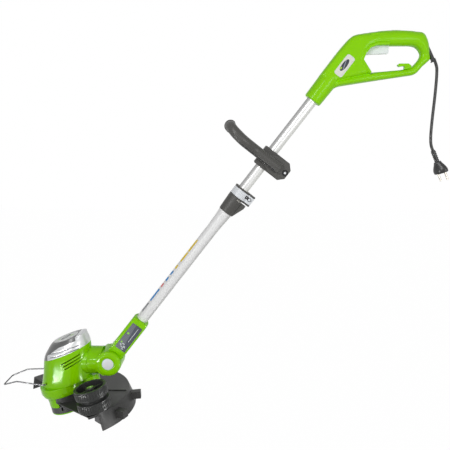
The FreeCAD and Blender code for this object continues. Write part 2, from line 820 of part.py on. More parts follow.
ledge_r = 22.0
ledge_height = 22.0
ledge = rod(ledge_r, ledge_height, (-S.neck_seam - 10, 0, floor - ledge_height))
tab_low = -80.0
tab_inner = skirt_in - 0.5
tab_side = 28.0
tab_front = 5.0
foot_tab = cut(
    rod(skirt_in + S.wall * 1.25, floor - tab_low, (spool_x, 0, tab_low)),
    rod(tab_inner, BEYOND, (spool_x, 0, -BEYOND)),
    block((2 * BEYOND, BEYOND, 2 * BEYOND), (-BEYOND, -tab_side, -BEYOND)),
    block((BEYOND, 2 * BEYOND, 2 * BEYOND), (spool_x - tab_front, -BEYOND, -BEYOND)))
boss_circle = S.guard_hole + 9
boss_places = [(boss_circle * math.cos(math.radians(a)), boss_circle * math.sin(math.radians(a)))
               for a in (4, 44, 84)]
bosses = common(fuse(*[rod(head_r, BEYOND, (spool_x + x, y, floor_low - BEYOND)) for x, y in boss_places]),
                over_plate(0, True))
base = fuse(at_spool(skirt), ledge, foot_tab, bosses)
base_trim = rod(tab_inner, BEYOND, (spool_x, 0, floor_low - BEYOND))
over_floor = block((2 * BEYOND, 2 * BEYOND, BEYOND), (-BEYOND, -BEYOND, floor))
boss_bore_top = floor_low - S.wall / 2
boss_bores = [rod(screw_r, BEYOND, (spool_x + x, y, boss_bore_top - BEYOND)) for x, y in boss_places]
floor_lift = [rod(head_r, S.wall * 2, (x, y, floor_low)) for x, y in post_places]
floor_holes = [bore_along(screw_r, x, y) for x, y in post_places]
node("base_skirt", cut(cut(fuse(base, *floor_lift), base_trim, over_floor), *boss_bores, *floor_holes), HEAD)
base_screw_length = S.wall * 2 + S.housing_floor * 0.7
node("base_screws", group(*[
    upward_screw(x, y, floor_low, base_screw_length, head_r) for x, y in post_places]), HEAD)


# ---------------------------------------------------------------------------------------------
# Guard: a sloped plate and skirt behind the spool, cut straight on the near side

GUARD = HEAD.multiply(FreeCAD.Placement(vec(spool_x, 0, -S.guard_drop), plane_turn))
crease = S.guard_radius
rim_out = S.guard_radius + S.guard_flare
guard_form = turned(
    (S.guard_hole, -S.guard_wall),
    (S.guard_hole, 0),
    (crease, 0),
    (rim_out, -S.guard_skirt),
    (rim_out - S.guard_wall, -S.guard_skirt),
    (crease - S.guard_wall, -S.guard_wall))


def in_guard(thing):
    """The same piece, given in the head's axes, seen from the guard's own."""
    held = group(thing)
    held.Placement = GUARD.inverse().multiply(HEAD)
    return held


edge_turn = FreeCAD.Rotation(UP, 180 + float(S.guard_edge_angle))
edge_corner = edge_turn.multVec(vec(S.guard_edge_reach, -BEYOND, -BEYOND))
near_cut = block((BEYOND, 2 * BEYOND, 2 * BEYOND), (edge_corner.x, edge_corner.y, edge_corner.z), edge_turn)
far_turn = FreeCAD.Rotation(UP, float(S.guard_far_angle))
far_cut = block((BEYOND, BEYOND, 2 * BEYOND), (0, 0, -BEYOND), far_turn)
rim_turn = FreeCAD.Rotation(UP, float(S.guard_rim_end))
rim_corner = rim_turn.multVec(vec(crease - S.wall * 2, -BEYOND, -BEYOND - S.guard_wall * 2))
rim_cut = block((BEYOND, BEYOND, BEYOND), (rim_corner.x, rim_corner.y, rim_corner.z), rim_turn)
lug_low = S.guard_skirt * -0.74
lug_height = 18.0
guard_lugs = []
for angle in (7, -26):
    turn = FreeCAD.Rotation(UP, angle)
    corner = turn.multVec(vec(crease + 4, S.guard_lug_width / -2, lug_low))
    guard_lugs.append(block((S.guard_lug_length, S.guard_lug_width, lug_height),
                            (corner.x, corner.y, corner.z), turn))
wheel_seat = -S.spool_top - S.guard_wall * 4.8
wheel_at = (-S.wheel_forward, -S.wheel_side)
axle_head_r = S.wheel_axle_d * 0.9
wheel_axle_low = wheel_seat - S.guard_wall
wheel_boss = cut(
    rod(S.wheel_axle_d * 2, S.guard_skirt, (*wheel_at, wheel_seat - S.guard_skirt)),
    over_plate(-S.guard_wall, False))
boss_hollow = rod(axle_head_r + S.wall / 2, BEYOND, (*wheel_at, wheel_axle_low - BEYOND))
axle_boss = rod(S.wheel_axle_d, S.guard_wall + S.running_gap, (*wheel_at, wheel_axle_low))
collar_ring = cut(
    rod(S.guard_hole + S.wall, S.guard_skirt, (spool_x, 0, skirt_low - S.guard_skirt)),
    bore_along(S.guard_hole + S.pin_fit * 4, spool_x),
    over_plate(-S.guard_wall, False))
guard_bossed = fuse(cut(fuse(guard_form, in_guard(collar_ring)), near_cut, far_cut, rim_cut),
                    in_guard(cut(fuse(wheel_boss, axle_boss), boss_hollow)), *guard_lugs)
guard_holes = [in_guard(bore_along(screw_r, spool_x + x, y)) for x, y in boss_places]
axle_hole = in_guard(bore_along(S.wheel_axle_d / 2 + S.pin_fit, *wheel_at))
node("guard", cut(guard_bossed, in_guard(boss_hollow), axle_hole, *guard_holes), GUARD)

plate_fall = math.tan(math.radians(float(S.guard_tilt)))
guard_screws = []
for x, y in boss_places:
    screw_low = -S.guard_drop - S.guard_wall - plate_fall * (x + head_r) - S.running_gap
    guard_screws.append(upward_screw(spool_x + x, y, screw_low, S.guard_skirt / 2, head_r))
node("guard_screws", group(*guard_screws), HEAD)

blade_turn = FreeCAD.Rotation(UP, float(S.guard_rim_end) + 1)
blade_length = 24.0
blade_height = 18.0
blade_thick = 1.4
blade_low = -S.guard_wall - 25
blade_corner = blade_turn.multVec(vec(crease - blade_length, 0, blade_low))
blade = block((blade_length, blade_thick, blade_height), tuple(blade_corner), blade_turn)
node("line_cutter", cut(blade, guard_bossed), GUARD)


# ---------------------------------------------------------------------------------------------
# Edging wheel on its axle

wheel_low = wheel_seat + S.guard_wall
wheel_top = wheel_low + S.wheel_height
groove_low = wheel_low + (S.wheel_height - S.wheel_groove) / 2
groove_high = groove_low + S.wheel_groove
hub_r = S.wheel_axle_d * 1.4
hub_high = wheel_top - S.wall * 1.5
web_high = groove_high + S.wall
rim_in = S.wheel_radius - S.wall * 2.6
wheel_bore = S.wheel_axle_d / 2 + S.pin_fit
wheel_form = turned(
    (wheel_bore, wheel_low),
    (S.wheel_radius, wheel_low),
    (S.wheel_radius, groove_low),
    (S.wheel_radius - S.wheel_groove_depth, groove_low),
    (S.wheel_radius - S.wheel_groove_depth, groove_high),
    (S.wheel_radius, groove_high),
    (S.wheel_radius, wheel_top),
    (rim_in, wheel_top),
    (rim_in, web_high),
    (hub_r, web_high),
    (hub_r, hub_high),
    (wheel_bore, hub_high))
spokes = []
spoke_width = 5.0
for n in range(4):
    turn = FreeCAD.Rotation(UP, 45 + 90 * n)
    corner = turn.multVec(vec(hub_r - 1, spoke_width / -2, web_high))
    spokes.append(block((rim_in - hub_r + 2, spoke_width, hub_high - S.wall - web_high),
                        (corner.x, corner.y, corner.z), turn))
wheel = fuse(wheel_form, *spokes)
WHEEL = HEAD.multiply(FreeCAD.Placement(vec(*wheel_at, 0), FreeCAD.Rotation()))
node("edge_wheel", wheel, WHEEL)
wheel_axle_high = hub_high + S.running_gap
node("wheel_axle", fuse(
    rod(S.wheel_axle_d / 2, wheel_axle_high - wheel_axle_low, (0, 0, wheel_axle_low)),
    rod(axle_head_r, S.wall / 2, (0, 0, wheel_axle_high)),
    rod(axle_head_r, S.wall / 2, (0, 0, wheel_axle_low - S.wall / 2))), WHEEL)


# ---------------------------------------------------------------------------------------------
# Wire edge guide, hinged in the front of the housing

wire_r = S.wire_d / 2
half_hinge = 48.5
WIRE_BENDS = (4, 12, 12, 7, 7, 12, 12, 4)


def wire_path():
    """The corners of the wire, from one ear of the housing round to the other."""
    hinge_x = float(hinge_place[0])
    hinge_z = float(hinge_place[1])
    reach = float(S.wire_reach)
    near = [V(hinge_x, -lug_inner, hinge_z),
            V(hinge_x, -half_hinge, hinge_z),
            V(hinge_x - reach * 0.39, -42, hinge_z + 11),
            V(hinge_x - reach * 0.65, -36, hinge_z + 18),
            V(hinge_x - reach, -27, hinge_z + 13)]
    return near + [V(p.x, -p.y, p.z) for p in reversed(near)]


wire_solid = bent_rod(wire_path(), WIRE_BENDS, float(wire_r))[0]
node("wire_guide", fixed(wire_solid, "wire"), HEAD)


# ---------------------------------------------------------------------------------------------
# Spool: housing and cover turn with the motor; knob, reel and line lift together when bumped

spool_high = -S.spool_top
spool_low = spool_high - S.spool_height
shaft_r = S.motor_shaft_d / 2
housing_form = turned(
    (shaft_r, spool_high + S.wall / 2),
    (shaft_r * 2.4, spool_high + S.wall / 2),
    (shaft_r * 2.4, spool_high),
    (S.spool_radius - S.wall, spool_high),
    (S.spool_radius, spool_high - S.wall),
    (S.spool_radius, spool_low + S.cap_rim),
    (S.spool_radius - S.wall, spool_low + S.cap_rim),
    (S.spool_radius - S.wall, spool_high - S.wall),
    (shaft_r, spool_high - S.wall))
line_level = spool_low + S.cap_rim + 9
line_r = 1.0
slot_margin = 2 * line_r
line_slots = block((2 * slot_margin, 2 * BEYOND, S.bump_travel + 2 * slot_margin),
                   (-slot_margin, -BEYOND, line_level - slot_margin))
SPOOL = HEAD.multiply(FreeCAD.Placement(vec(spool_x, 0, 0), FreeCAD.Rotation()))
node("spool_housing", cut(housing_form, line_slots), SPOOL)
knob_r = S.reel_radius - 4.5
knob_low = spool_low - 5.5
node("spool_cover", turned(
    (knob_r + S.running_gap, spool_low),
    (S.spool_radius - 0.5, spool_low),
    (S.spool_radius, spool_low + S.cap_rim),
    (knob_r + S.running_gap, spool_low + S.cap_rim)), SPOOL)
reel_low = spool_low + S.cap_rim + S.wall * 2
reel_high = spool_high - S.wall - S.bump_travel - S.running_gap
reel_core = S.reel_radius * 0.43
node("bump_knob", turned(
    (0, reel_low),
    (knob_r - 5, reel_low),
    (knob_r, reel_low - 3),
    (knob_r, spool_low - 2),
    (knob_r - 7, knob_low),
    (0, knob_low)), SPOOL)
flange = 2.0
reel_floor = reel_low + 5
node("line_reel", turned(
    (0, reel_low),
    (S.reel_radius, reel_low),
    (S.reel_radius, reel_low + flange),
    (reel_core, reel_low + flange),
    (reel_core, reel_high - flange),
    (S.reel_radius, reel_high - flange),
    (S.reel_radius, reel_high),
    (reel_core - S.wall, reel_high),
    (reel_core - S.wall, reel_floor),
    (0, reel_floor)), SPOOL)
winding_r = S.reel_radius - 3
winding = turned(
    (reel_core + S.pin_fit, reel_low + flange + S.pin_fit),
    (winding_r, reel_low + flange + S.pin_fit),
    (winding_r, reel_high - flange - S.pin_fit),
    (reel_core + S.pin_fit, reel_high - flange - S.pin_fit))
line_root = winding_r - 2 * line_r
line_out = S.spool_radius + 6 - line_root
line_ends = [rod(line_r, line_out, (0, low, line_level), "Y") for low in (line_root, -line_root - line_out)]
node("line_winding", fuse(winding, *line_ends), SPOOL)
spring_r = reel_core - S.wall - 1
spring_wire = 1.6
spring_low = reel_floor + S.bump_travel + S.running_gap
node("bump_spring", cut(
    rod(spring_r, spool_high - S.wall - spring_low, (0, 0, spring_low)),
    bore_along(spring_r - spring_wire)), SPOOL)


# ---------------------------------------------------------------------------------------------
# Motor: can on the base floor, magnets, two bearings, and the shaft with armature and fan

can_low = floor_low + S.wall
can_high = can_low + S.motor_length
can_wall = 1.6
bearing_r = S.bearing_od / 2
bearing_levels = (can_low + can_wall, can_high - can_wall - S.bearing_length)
can_form = fuse(
    cut(rod(S.motor_radius, S.motor_length, (0, 0, can_low)),
        rod(S.motor_radius - can_wall, S.motor_length - 2 * can_wall, (0, 0, can_low + can_wall))),
    *[rod(bearing_r + can_wall, S.bearing_length, (0, 0, low)) for low in bearing_levels])
node("motor_can", cut(
    can_form,
    *[rod(bearing_r, S.bearing_length, (0, 0, low)) for low in bearing_levels],
    bore_along(shaft_r + 1)), SPOOL)
magnet_low = can_low + can_wall + S.bearing_length + S.wall
magnet_length = S.motor_length - 2 * (can_wall + S.bearing_length + S.wall)
magnet_in = S.motor_radius - can_wall - 3.5
magnet_split = 1.5
node("motor_magnets", cut(
    rod(S.motor_radius - can_wall, magnet_length, (0, 0, magnet_low)),
    bore_along(magnet_in),
    block((magnet_split, S.motor_radius * 2, magnet_length),
          (magnet_split / -2, -S.motor_radius, magnet_low))), SPOOL)
node("motor_bearings", group(*[
    cut(rod(bearing_r, S.bearing_length, (0, 0, low)), bore_along(shaft_r + S.pin_fit))
    for low in bearing_levels]), SPOOL)
shaft_low = spool_high - S.wall * 1.5
shaft_high = can_high + 12
node("motor_shaft", fuse(
    rod(shaft_r, shaft_high - shaft_low, (0, 0, shaft_low)),
    rod(magnet_in - S.running_gap * 1.5, magnet_length - 2, (0, 0, magnet_low + 1))), SPOOL)
fan_low = can_high + 2
fan_hub_r = shaft_r + 4
fan_r = S.motor_radius - 3
blade_thin = 1.5
fan_blades = []
for n in range(8):
    turn = FreeCAD.Rotation(UP, 45 * n)
    corner = turn.multVec(vec(fan_hub_r - 1, blade_thin / -2, fan_low))
    fan_blades.append(block((fan_r - fan_hub_r, blade_thin, 7), (corner.x, corner.y, corner.z), turn))
node("cooling_fan", cut(
    fuse(rod(fan_hub_r, 8, (0, 0, fan_low)), rod(fan_r, blade_thin, (0, 0, fan_low)), *fan_blades),
    bore_along(shaft_r)), SPOOL)


# ---------------------------------------------------------------------------------------------
# Front handle: clamp round the upper tube, and a loop that tilts on the clamp's bolt

clamp_middle = (clamp_low + clamp_high) / 2
clamp_half = S.aux_clamp_depth / 2
bolt_r = S.aux_bolt_d / 2
clamp_left = -S.aux_clamp_width / 2
clamp_chamfer = 12.0
clamp_corners = (
    (clamp_left, clamp_low),
    (S.aux_clamp_drop - clamp_chamfer, clamp_low),
    (S.aux_clamp_drop, clamp_low + clamp_chamfer),
    (S.aux_clamp_drop, clamp_high - clamp_chamfer),
    (S.aux_clamp_drop - clamp_chamfer, clamp_high),
    (clamp_left, clamp_high))


def clamp_block(side):
    form = plate(clamp_corners, clamp_half - S.running_gap / 2, "XZ_Plane",
                 rounds=[(S.wall, (0, 5))], flip=side > 0)
    form.Placement.Base = vec(0, side * S.running_gap / 2, 0)
    bind(form, "Placement.Base.y", side * S.running_gap / 2)
    return cut(form,
               rod(tube_top_r + S.pin_fit, 2 * BEYOND, (0, 0, clamp_middle - BEYOND)),
               bore_across(bolt_r + S.pin_fit, S.aux_bolt_offset, clamp_middle))


node("clamp_block_near", clamp_block(-1), SHAFT)
node("clamp_block_far", clamp_block(1), SHAFT)

leg_r = S.aux_leg_radius
leg_inner = clamp_half + S.running_gap
leg_y = leg_inner + leg_r
loop_half = S.aux_span / 2
yoke_thick = S.wall * 3
loop_points = [
    vec(S.aux_clamp_drop - 24, -leg_y, clamp_middle),
    vec(clamp_left - 16, -leg_y, clamp_middle),
    vec(-S.aux_bar_height * 0.6, -loop_half, clamp_middle),
    vec(-S.aux_bar_height, -loop_half, clamp_middle)]
loop_points += [V(p.x, -p.y, p.z) for p in reversed(loop_points)]
corner_r = float(S.aux_corner)
sweep_r = float(S.aux_sweep)
loop_solid = bent_rod(loop_points, [sweep_r, sweep_r, corner_r, corner_r, sweep_r, sweep_r], float(leg_r))[0]
yoke_back = S.aux_clamp_drop - 40
yoke_shoulder = S.aux_clamp_drop - clamp_chamfer - 2
yoke_tip = S.aux_clamp_drop - 1
yoke_neck = leg_r * 0.9
yoke_corners = (
    (clamp_left / 3, clamp_middle - yoke_neck),
    (yoke_back, clamp_low + 2),
    (yoke_shoulder, clamp_low + 2),
    (yoke_tip, clamp_middle - yoke_neck),
    (yoke_tip, clamp_middle + yoke_neck),
    (yoke_shoulder, clamp_high - 2),
    (yoke_back, clamp_high - 2),
    (clamp_left / 3, clamp_middle + yoke_neck))
yokes = []
for side in (-1, 1):
    yoke = plate(yoke_corners, yoke_thick, "XZ_Plane", flip=side > 0)
    bind(yoke, "Placement.Base.y", side * leg_inner)
    yokes.append(yoke)
bolt_head_r = bolt_r * 1.6
seat_level = leg_inner + S.wall * 1.5
bolt_seats = [rod(bolt_head_r + S.running_gap, BEYOND, (S.aux_bolt_offset, low, clamp_middle), "Y")
              for low in (-seat_level - BEYOND, seat_level)]
bolt_hole = bore_across(bolt_r + S.pin_fit, S.aux_bolt_offset, clamp_middle)
node("aux_loop", cut(fuse(fixed(loop_solid, "loop"), *yokes), *bolt_seats, bolt_hole), SHAFT)
grip_half = S.aux_span / 2 - S.aux_corner - 1
node("aux_grip", cut(
    rod(S.aux_grip_radius, grip_half * 2, (-S.aux_bar_height, -grip_half, clamp_middle), "Y"),
    bore_across(leg_r, -S.aux_bar_height, clamp_middle)), SHAFT)
node("clamp_bolt", fuse(
    rod(bolt_r, seat_level * 2 + S.wall * 3, (S.aux_bolt_offset, -seat_level, clamp_middle), "Y"),
    rod(bolt_head_r, bolt_r, (S.aux_bolt_offset, -seat_level - bolt_r, clamp_middle), "Y")), SHAFT)
node("clamp_nut", cut(
    rod(bolt_head_r, S.wall * 2, (S.aux_bolt_offset, seat_level, clamp_middle), "Y"),
    bore_across(bolt_r, S.aux_bolt_offset, clamp_middle)), SHAFT)


# ---------------------------------------------------------------------------------------------
# Rear handle: nose round the upper tube, grip over a trigger, and a lower bar that closes the loop

def from_shaft(across, along):
    """A point given by its distances across and up the shaft, in the world's middle plane."""
    spot = SHAFT.multVec(vec(across, 0, along))
    return spot.x, spot.z


grip_top = S.grip_height / 2
grip_under = -grip_top
bar_mid = 10 - S.loop_height
nose_long = 62.0
body_corners = (
    (-S.grip_front - 19, 0.8),
    (-S.grip_front - 9, 6.5),
    (-S.grip_front * 0.66, grip_top - 4.2),
    (-23.7, grip_top + 0.1),
    (11.8, grip_top - 0.7),
    (S.grip_back - 8, grip_top - 4.7),
    (S.grip_back, grip_top - 7.1),
    (S.grip_back + 6, -7.0),
    (S.grip_back + 12, -37.2),
    (S.grip_back - 8, -37.1),
    (S.grip_back - 14, grip_under - 5.5),
    (S.grip_back - 30, grip_under + 0.4),
    (-46.0, grip_under + 0.4),
    (-60.0, grip_under - 3.5),
    (-69.4, -31.9),
    (-78.5, -47.0),
    (-58.2, bar_mid + 1),
    (-60.0, bar_mid - 19),
    (-95.7, bar_mid - 24.8),
    (-131.9, bar_mid - 30.6),
    from_shaft(S.nose_radius + 3, nose_low + nose_long),
    from_shaft(-S.nose_radius - 1.5, nose_low + nose_long),
    from_shaft(-S.nose_radius - 2, nose_low + 128))
bar_corners = (
    (-84.0, bar_mid - 3),
    (-58.2, bar_mid + 1),
    (4.1, bar_mid + 5.6),
    (28.0, bar_mid + 9),
    (S.grip_back - 12.3, -47.4),
    (S.grip_back - 8, -37.1),
    (S.grip_back - 12, -20),
    (S.grip_back + 8, -18),
    (S.grip_back + 13.5, -37.2),
    (S.grip_back + 14, -46.4),
    (S.grip_back - 4.2, -62.7),
    (38.3, bar_mid - 5.1),
    (-18.9, bar_mid - 13.2),
    (-95.7, bar_mid - 24.8))
handle_half = S.handle_depth / 2
bar_half = S.loop_bar * 0.85
trigger_place = (-73.0, -22.0)
trigger_pin_r = S.trigger_pin_d / 2
handle_screw_places = (
    (-112.0, -14.0),
    (-112.0, -86.0),
    (-88.0, -58.0),
    (8.0, 7.5),
    (S.grip_back - 4, -24.0),
    (0.0, bar_mid - 3.4))
body_screws = handle_screw_places[:-1]
bar_screw = handle_screw_places[-1]
boss_r = screw_r + S.wall
relief_turn = FreeCAD.Rotation(TILT, 180 - 27)
relief_root = (S.grip_back + 5.5, 0, -9.5)
relief_r = S.cord_d * 0.88
relief_flange_r = relief_r + 2
badge_across = 8.0


def badge_block(gap):
    """The badge on the near face, square to the shaft, with a gap all round."""
    return block((S.badge_width - 2 * gap, S.wall / 2, S.badge_length - 2 * gap), (
        badge_across - S.badge_width / 2 + gap, -handle_half,
        nose_low + S.badge_from_nose - S.badge_length / 2 + gap))


def in_grip(thing):
    """The same piece, given in the shaft's axes, seen in the world's."""
    held = group(thing)
    held.Placement = SHAFT
    return held


def hollow(corners, half, rim, flip):
    """Half of a moulded outline: rounded at the rim and hollow inside its wall."""
    return cut(plate(corners, half, "XZ_Plane", rim=rim, flip=flip),
               plate(inset(corners, S.wall), half - S.wall, "XZ_Plane", flip=flip))


def handle_screws(make):
    """The handle's screws, or their holes."""
    return [make(x, z, half * 1.6, half)
            for places, half in ((body_screws, handle_half), ([bar_screw], bar_half)) for x, z in places]


def half_post(radius, spot, inner, outer, side):
    """A post along Y between two distances from the middle plane."""
    return rod(radius, outer - inner, (spot[0], inner if side > 0 else -outer, spot[1]), "Y")


def handle_half_shell(side):
    flip = side > 0
    body = hollow(body_corners, handle_half, 4.5, flip)
    bar = hollow(bar_corners, bar_half, 3.0, flip)
    nose_outer = S.nose_radius + 1.5
    nose = cut(in_grip(turned(
        (0, nose_low),
        (S.nose_radius - 3, nose_low),
        (S.nose_radius, nose_low + 3),
        (nose_outer, nose_low + nose_long),
        (nose_outer, upper_tube_high + S.wall),
        (0, upper_tube_high + S.wall))), other_side(side))
    depth = handle_half - S.wall / 2
    posts = [half_post(boss_r, spot, 0, depth, side) for spot in body_screws]
    posts.append(half_post(boss_r, bar_screw, 0, bar_half - S.wall / 2, side))
    posts.append(half_post(
        trigger_pin_r + S.wall, trigger_place, S.trigger_width / 2 + S.running_gap, depth, side))
    tube_hole = in_grip(rod(tube_top_r + S.pin_fit, upper_tube_high - nose_low, (0, 0, nose_low)))
    trigger_slot = block((S.trigger_length + 6, S.trigger_width + 2 * S.running_gap, 34), (
        trigger_place[0] - 5, S.trigger_width / -2 - S.running_gap, -38))
    relief_back = relief_turn.multVec(vec(0, 0, -S.wall * 5 - S.pin_fit))
    relief_start = (relief_root[0] + relief_back.x, 0, relief_root[2] + relief_back.z)
    relief_hole = fuse(
        rod(relief_r + S.running_gap, S.relief_length, relief_start, turn=relief_turn),
        rod(relief_flange_r + S.pin_fit, S.wall + S.pin_fit * 2, relief_start, turn=relief_turn))
    pin_hole = rod(trigger_pin_r + S.pin_fit, (handle_half - S.wall) * 2, (
        trigger_place[0], -handle_half + S.wall, trigger_place[1]), "Y")
    return cut(fuse(body, bar, nose, *posts), tube_hole, trigger_slot, relief_hole, pin_hole,
               in_grip(badge_block(0)), *handle_screws(screw_hole))


node("handle_shell_near", handle_half_shell(-1), GRIP)
node("handle_shell_far", handle_half_shell(1), GRIP)
node("handle_badge", badge_block(S.pin_fit * 2), SHAFT)
node("handle_screws", group(*handle_screws(screw)), GRIP)

trigger_form = plate((
    (trigger_place[0] - 1, -36.0),
    (-62.2, -34.3),
    (trigger_place[0] + S.trigger_length, -33.2),
    (trigger_place[0] + S.trigger_length, -14.0),
    (trigger_place[0] + 4, -14.0),
    (trigger_place[0] - 4, -20.0)), S.trigger_width, "XZ_Plane", rounds=[(3, (2,))], centred=True)
node("trigger", cut(trigger_form, bore_across(trigger_pin_r + S.pin_fit, *trigger_place)), GRIP)
pin_length = (handle_half - S.wall) * 2 - S.running_gap
node("trigger_pin", rod(
    trigger_pin_r, pin_length, (trigger_place[0], pin_length / -2, trigger_place[1]), "Y"), GRIP)

# Micro switch above the trigger, held in a bracket that reaches both shells
switch_low = -5.5
switch_left = trigger_place[0] + 11
switch_size = (34.0, 15.0, 14.0)
switch_fit = 2 * S.pin_fit
bracket_margin = 3.0
node("trigger_switch", block(switch_size, (switch_left, switch_size[1] / -2, switch_low)), GRIP)
node("switch_bracket", cut(
    block((switch_size[0] + 2 * bracket_margin, (handle_half - S.wall) * 2, switch_size[2]),
          (switch_left - bracket_margin, S.wall - handle_half, switch_low)),
    block((switch_size[0] + 2 * switch_fit, switch_size[1] + 2 * switch_fit, switch_size[2]),
          (switch_left - switch_fit, switch_size[1] / -2 - switch_fit, switch_low))), GRIP)

# Hook that takes the loop of the extension lead
hook_level = bar_mid + 7.5
hook_foot = 14.0
hook_foot_level = bar_mid + 5.6 + 3.4 * (hook_foot - 4.1) / (28.0 - 4.1)
node("cord_hook", plate((
    (-1.4, hook_level + 9.0),
    (2.0, hook_level + 12.0),
    (23.0, hook_level + 12.0),
    (30.0, hook_level + 7.0),
    (28.0, bar_mid + 9),
    (hook_foot, hook_foot_level),
    (hook_foot, hook_level + 6.5),
    (2.0, hook_level + 5.0)), bar_half * 0.9, "XZ_Plane",
    rounds=[(1.5, (0, 1, 7)), (3, (2, 3))], centred=True), GRIP)


# ---------------------------------------------------------------------------------------------
# Strain relief, lead and plug

RELIEF = FreeCAD.Placement(vec(*relief_root), relief_turn)
node("strain_relief", turned(
    (0, -S.wall * 5),
    (relief_flange_r, -S.wall * 5),
    (relief_flange_r, -S.wall * 4),
    (relief_r, -S.wall * 4),
    (relief_r, 0),
    (relief_r - 1.4, S.relief_length - 2.5),
    (relief_r + 0.6, S.relief_length - 2.5),
    (relief_r + 0.6, S.relief_length),
    (0, S.relief_length)), RELIEF)
cord_start = RELIEF.multVec(vec(0, 0, S.relief_length))
CORD_POINTS = (
    (86.2, -58.6),
    (87.4, -71.0),
    (87.4, -94.0),
    (85.9, -130.0),
    (83.3, -170.0),
    (82.0, -200.0),
    (81.9, -218.0),
    (83.0, -230.0),
    (85.0, -238.5),
    (88.4, -246.1))
route = [cord_start] + [V(x, 0, z) for x, z in CORD_POINTS]


def cord_radii(points):
    """The largest radius that both runs beside each point allow."""
    radii = []
    for i in range(1, len(points) - 1):
        before = points[i] - points[i - 1]
        after = points[i + 1] - points[i]
        radii.append(0.45 * min(before.Length, after.Length) / math.tan(before.getAngle(after) / 2))
    return radii


radii = cord_radii(route)
cord_r = float(S.cord_d / 2)
cord_solid, cord_length = bent_rod(route, radii, cord_r)
print("cord radii", [round(radius, 1) for radius in radii])
print("cord volume by section and length", cord_solid.Volume / (math.pi * cord_r ** 2 * cord_length))
node("power_cord", fixed(cord_solid, "cord"), GRIP)

plug_way = (route[-1] - route[-2]).normalize()
PLUG = FreeCAD.Placement(route[-1], FreeCAD.Rotation(UP, plug_way).multiply(FreeCAD.Rotation(UP, 55)))
sleeve_r = S.cord_d / 2 + 2.2
sleeve_root = sleeve_r - 0.8
rib_pitch = 5.0
rib_wide = 3.0
plug_ribs = []
for n in range(5):
    low = rib_wide + rib_pitch * n
    plug_ribs += [
        (sleeve_r, low),
        (sleeve_r, low + rib_wide),
        (sleeve_r - 1, low + rib_wide),
        (sleeve_r - 1, low + rib_pitch)]
plug_low = S.plug_sleeve_length
plug_sleeve = turned((0, 0), (sleeve_root, 0), (sleeve_root, rib_wide), *plug_ribs, (0, plug_low))
node("plug_sleeve", plug_sleeve, PLUG)
plug_high = plug_low + S.plug_body_length
plug_levels = (
    (plug_low, 8.5, 6.5),
    (plug_low + 9, 13.0, 8.5),
    (plug_high - 7, 18.0, 11.0),
    (plug_high, 17.5, 10.5))
plug_loft = doc.addObject("Part::Loft", "plug_form")
plug_loft.Sections = [oval(level, 0, wide, thick) for level, wide, thick in plug_levels]
plug_loft.Solid = True
pin_r = S.plug_pin_d / 2
pin_places = (-S.plug_pin_pitch / 2, S.plug_pin_pitch / 2)
pin_root_r = pin_r * 0.8
pin_root = 12
pin_shanks = [rod(pin_root_r, pin_root, (x, 0, plug_high - pin_root)) for x in pin_places]
pin_ends = [rod(pin_r, S.plug_pin_length, (x, 0, plug_high)) for x in pin_places]
node("plug_body", cut(plug_loft, *pin_shanks), PLUG)
node("plug_pins", group(*[fuse(shank, end) for shank, end in zip(pin_shanks, pin_ends)]), PLUG)


# ---------------------------------------------------------------------------------------------
# Every piece is sound before any is written

doc.recompute()
for thing in doc.Objects:
    if "Invalid" in thing.State or "Error" in thing.State:
        raise RuntimeError(f"{thing.Label} failed to build")
for thing in nodes:
    if thing.Shape.isNull() or not thing.Shape.isValid():
        raise RuntimeError(f"{thing.Label} has no sound shape")
os.makedirs("parts", exist_ok=True)
for thing in nodes:
    thing.Shape.exportStep(os.path.join("parts", thing.Label + ".step"))
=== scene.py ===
import json
import math
import bmesh
import bpy
import numpy as np
from mathutils import Matrix, Vector


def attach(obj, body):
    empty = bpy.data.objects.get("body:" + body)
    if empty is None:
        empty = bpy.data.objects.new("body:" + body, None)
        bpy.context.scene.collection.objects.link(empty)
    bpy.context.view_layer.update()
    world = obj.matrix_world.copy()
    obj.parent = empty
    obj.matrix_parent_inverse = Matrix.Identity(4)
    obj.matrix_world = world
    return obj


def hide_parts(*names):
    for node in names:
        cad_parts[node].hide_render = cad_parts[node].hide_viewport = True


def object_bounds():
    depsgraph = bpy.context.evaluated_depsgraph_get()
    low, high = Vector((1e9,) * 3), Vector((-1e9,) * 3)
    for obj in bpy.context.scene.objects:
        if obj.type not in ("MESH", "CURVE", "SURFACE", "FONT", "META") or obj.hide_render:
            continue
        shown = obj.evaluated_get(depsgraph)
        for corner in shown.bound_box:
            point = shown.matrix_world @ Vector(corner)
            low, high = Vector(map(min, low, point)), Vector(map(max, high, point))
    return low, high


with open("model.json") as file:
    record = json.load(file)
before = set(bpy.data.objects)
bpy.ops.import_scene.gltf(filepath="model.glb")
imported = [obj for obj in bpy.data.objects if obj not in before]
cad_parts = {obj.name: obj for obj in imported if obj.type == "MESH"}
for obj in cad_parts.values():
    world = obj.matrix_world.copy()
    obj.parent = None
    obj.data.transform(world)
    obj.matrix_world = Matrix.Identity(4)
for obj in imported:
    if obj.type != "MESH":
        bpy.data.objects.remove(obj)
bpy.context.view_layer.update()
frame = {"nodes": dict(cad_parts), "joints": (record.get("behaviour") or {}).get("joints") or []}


# ---------------------------------------------------------------------------------------------
# Camera. It stands a stride in front of the middle of the shaft and a little above it, on the
# side of the tilt button and the edging wheel.

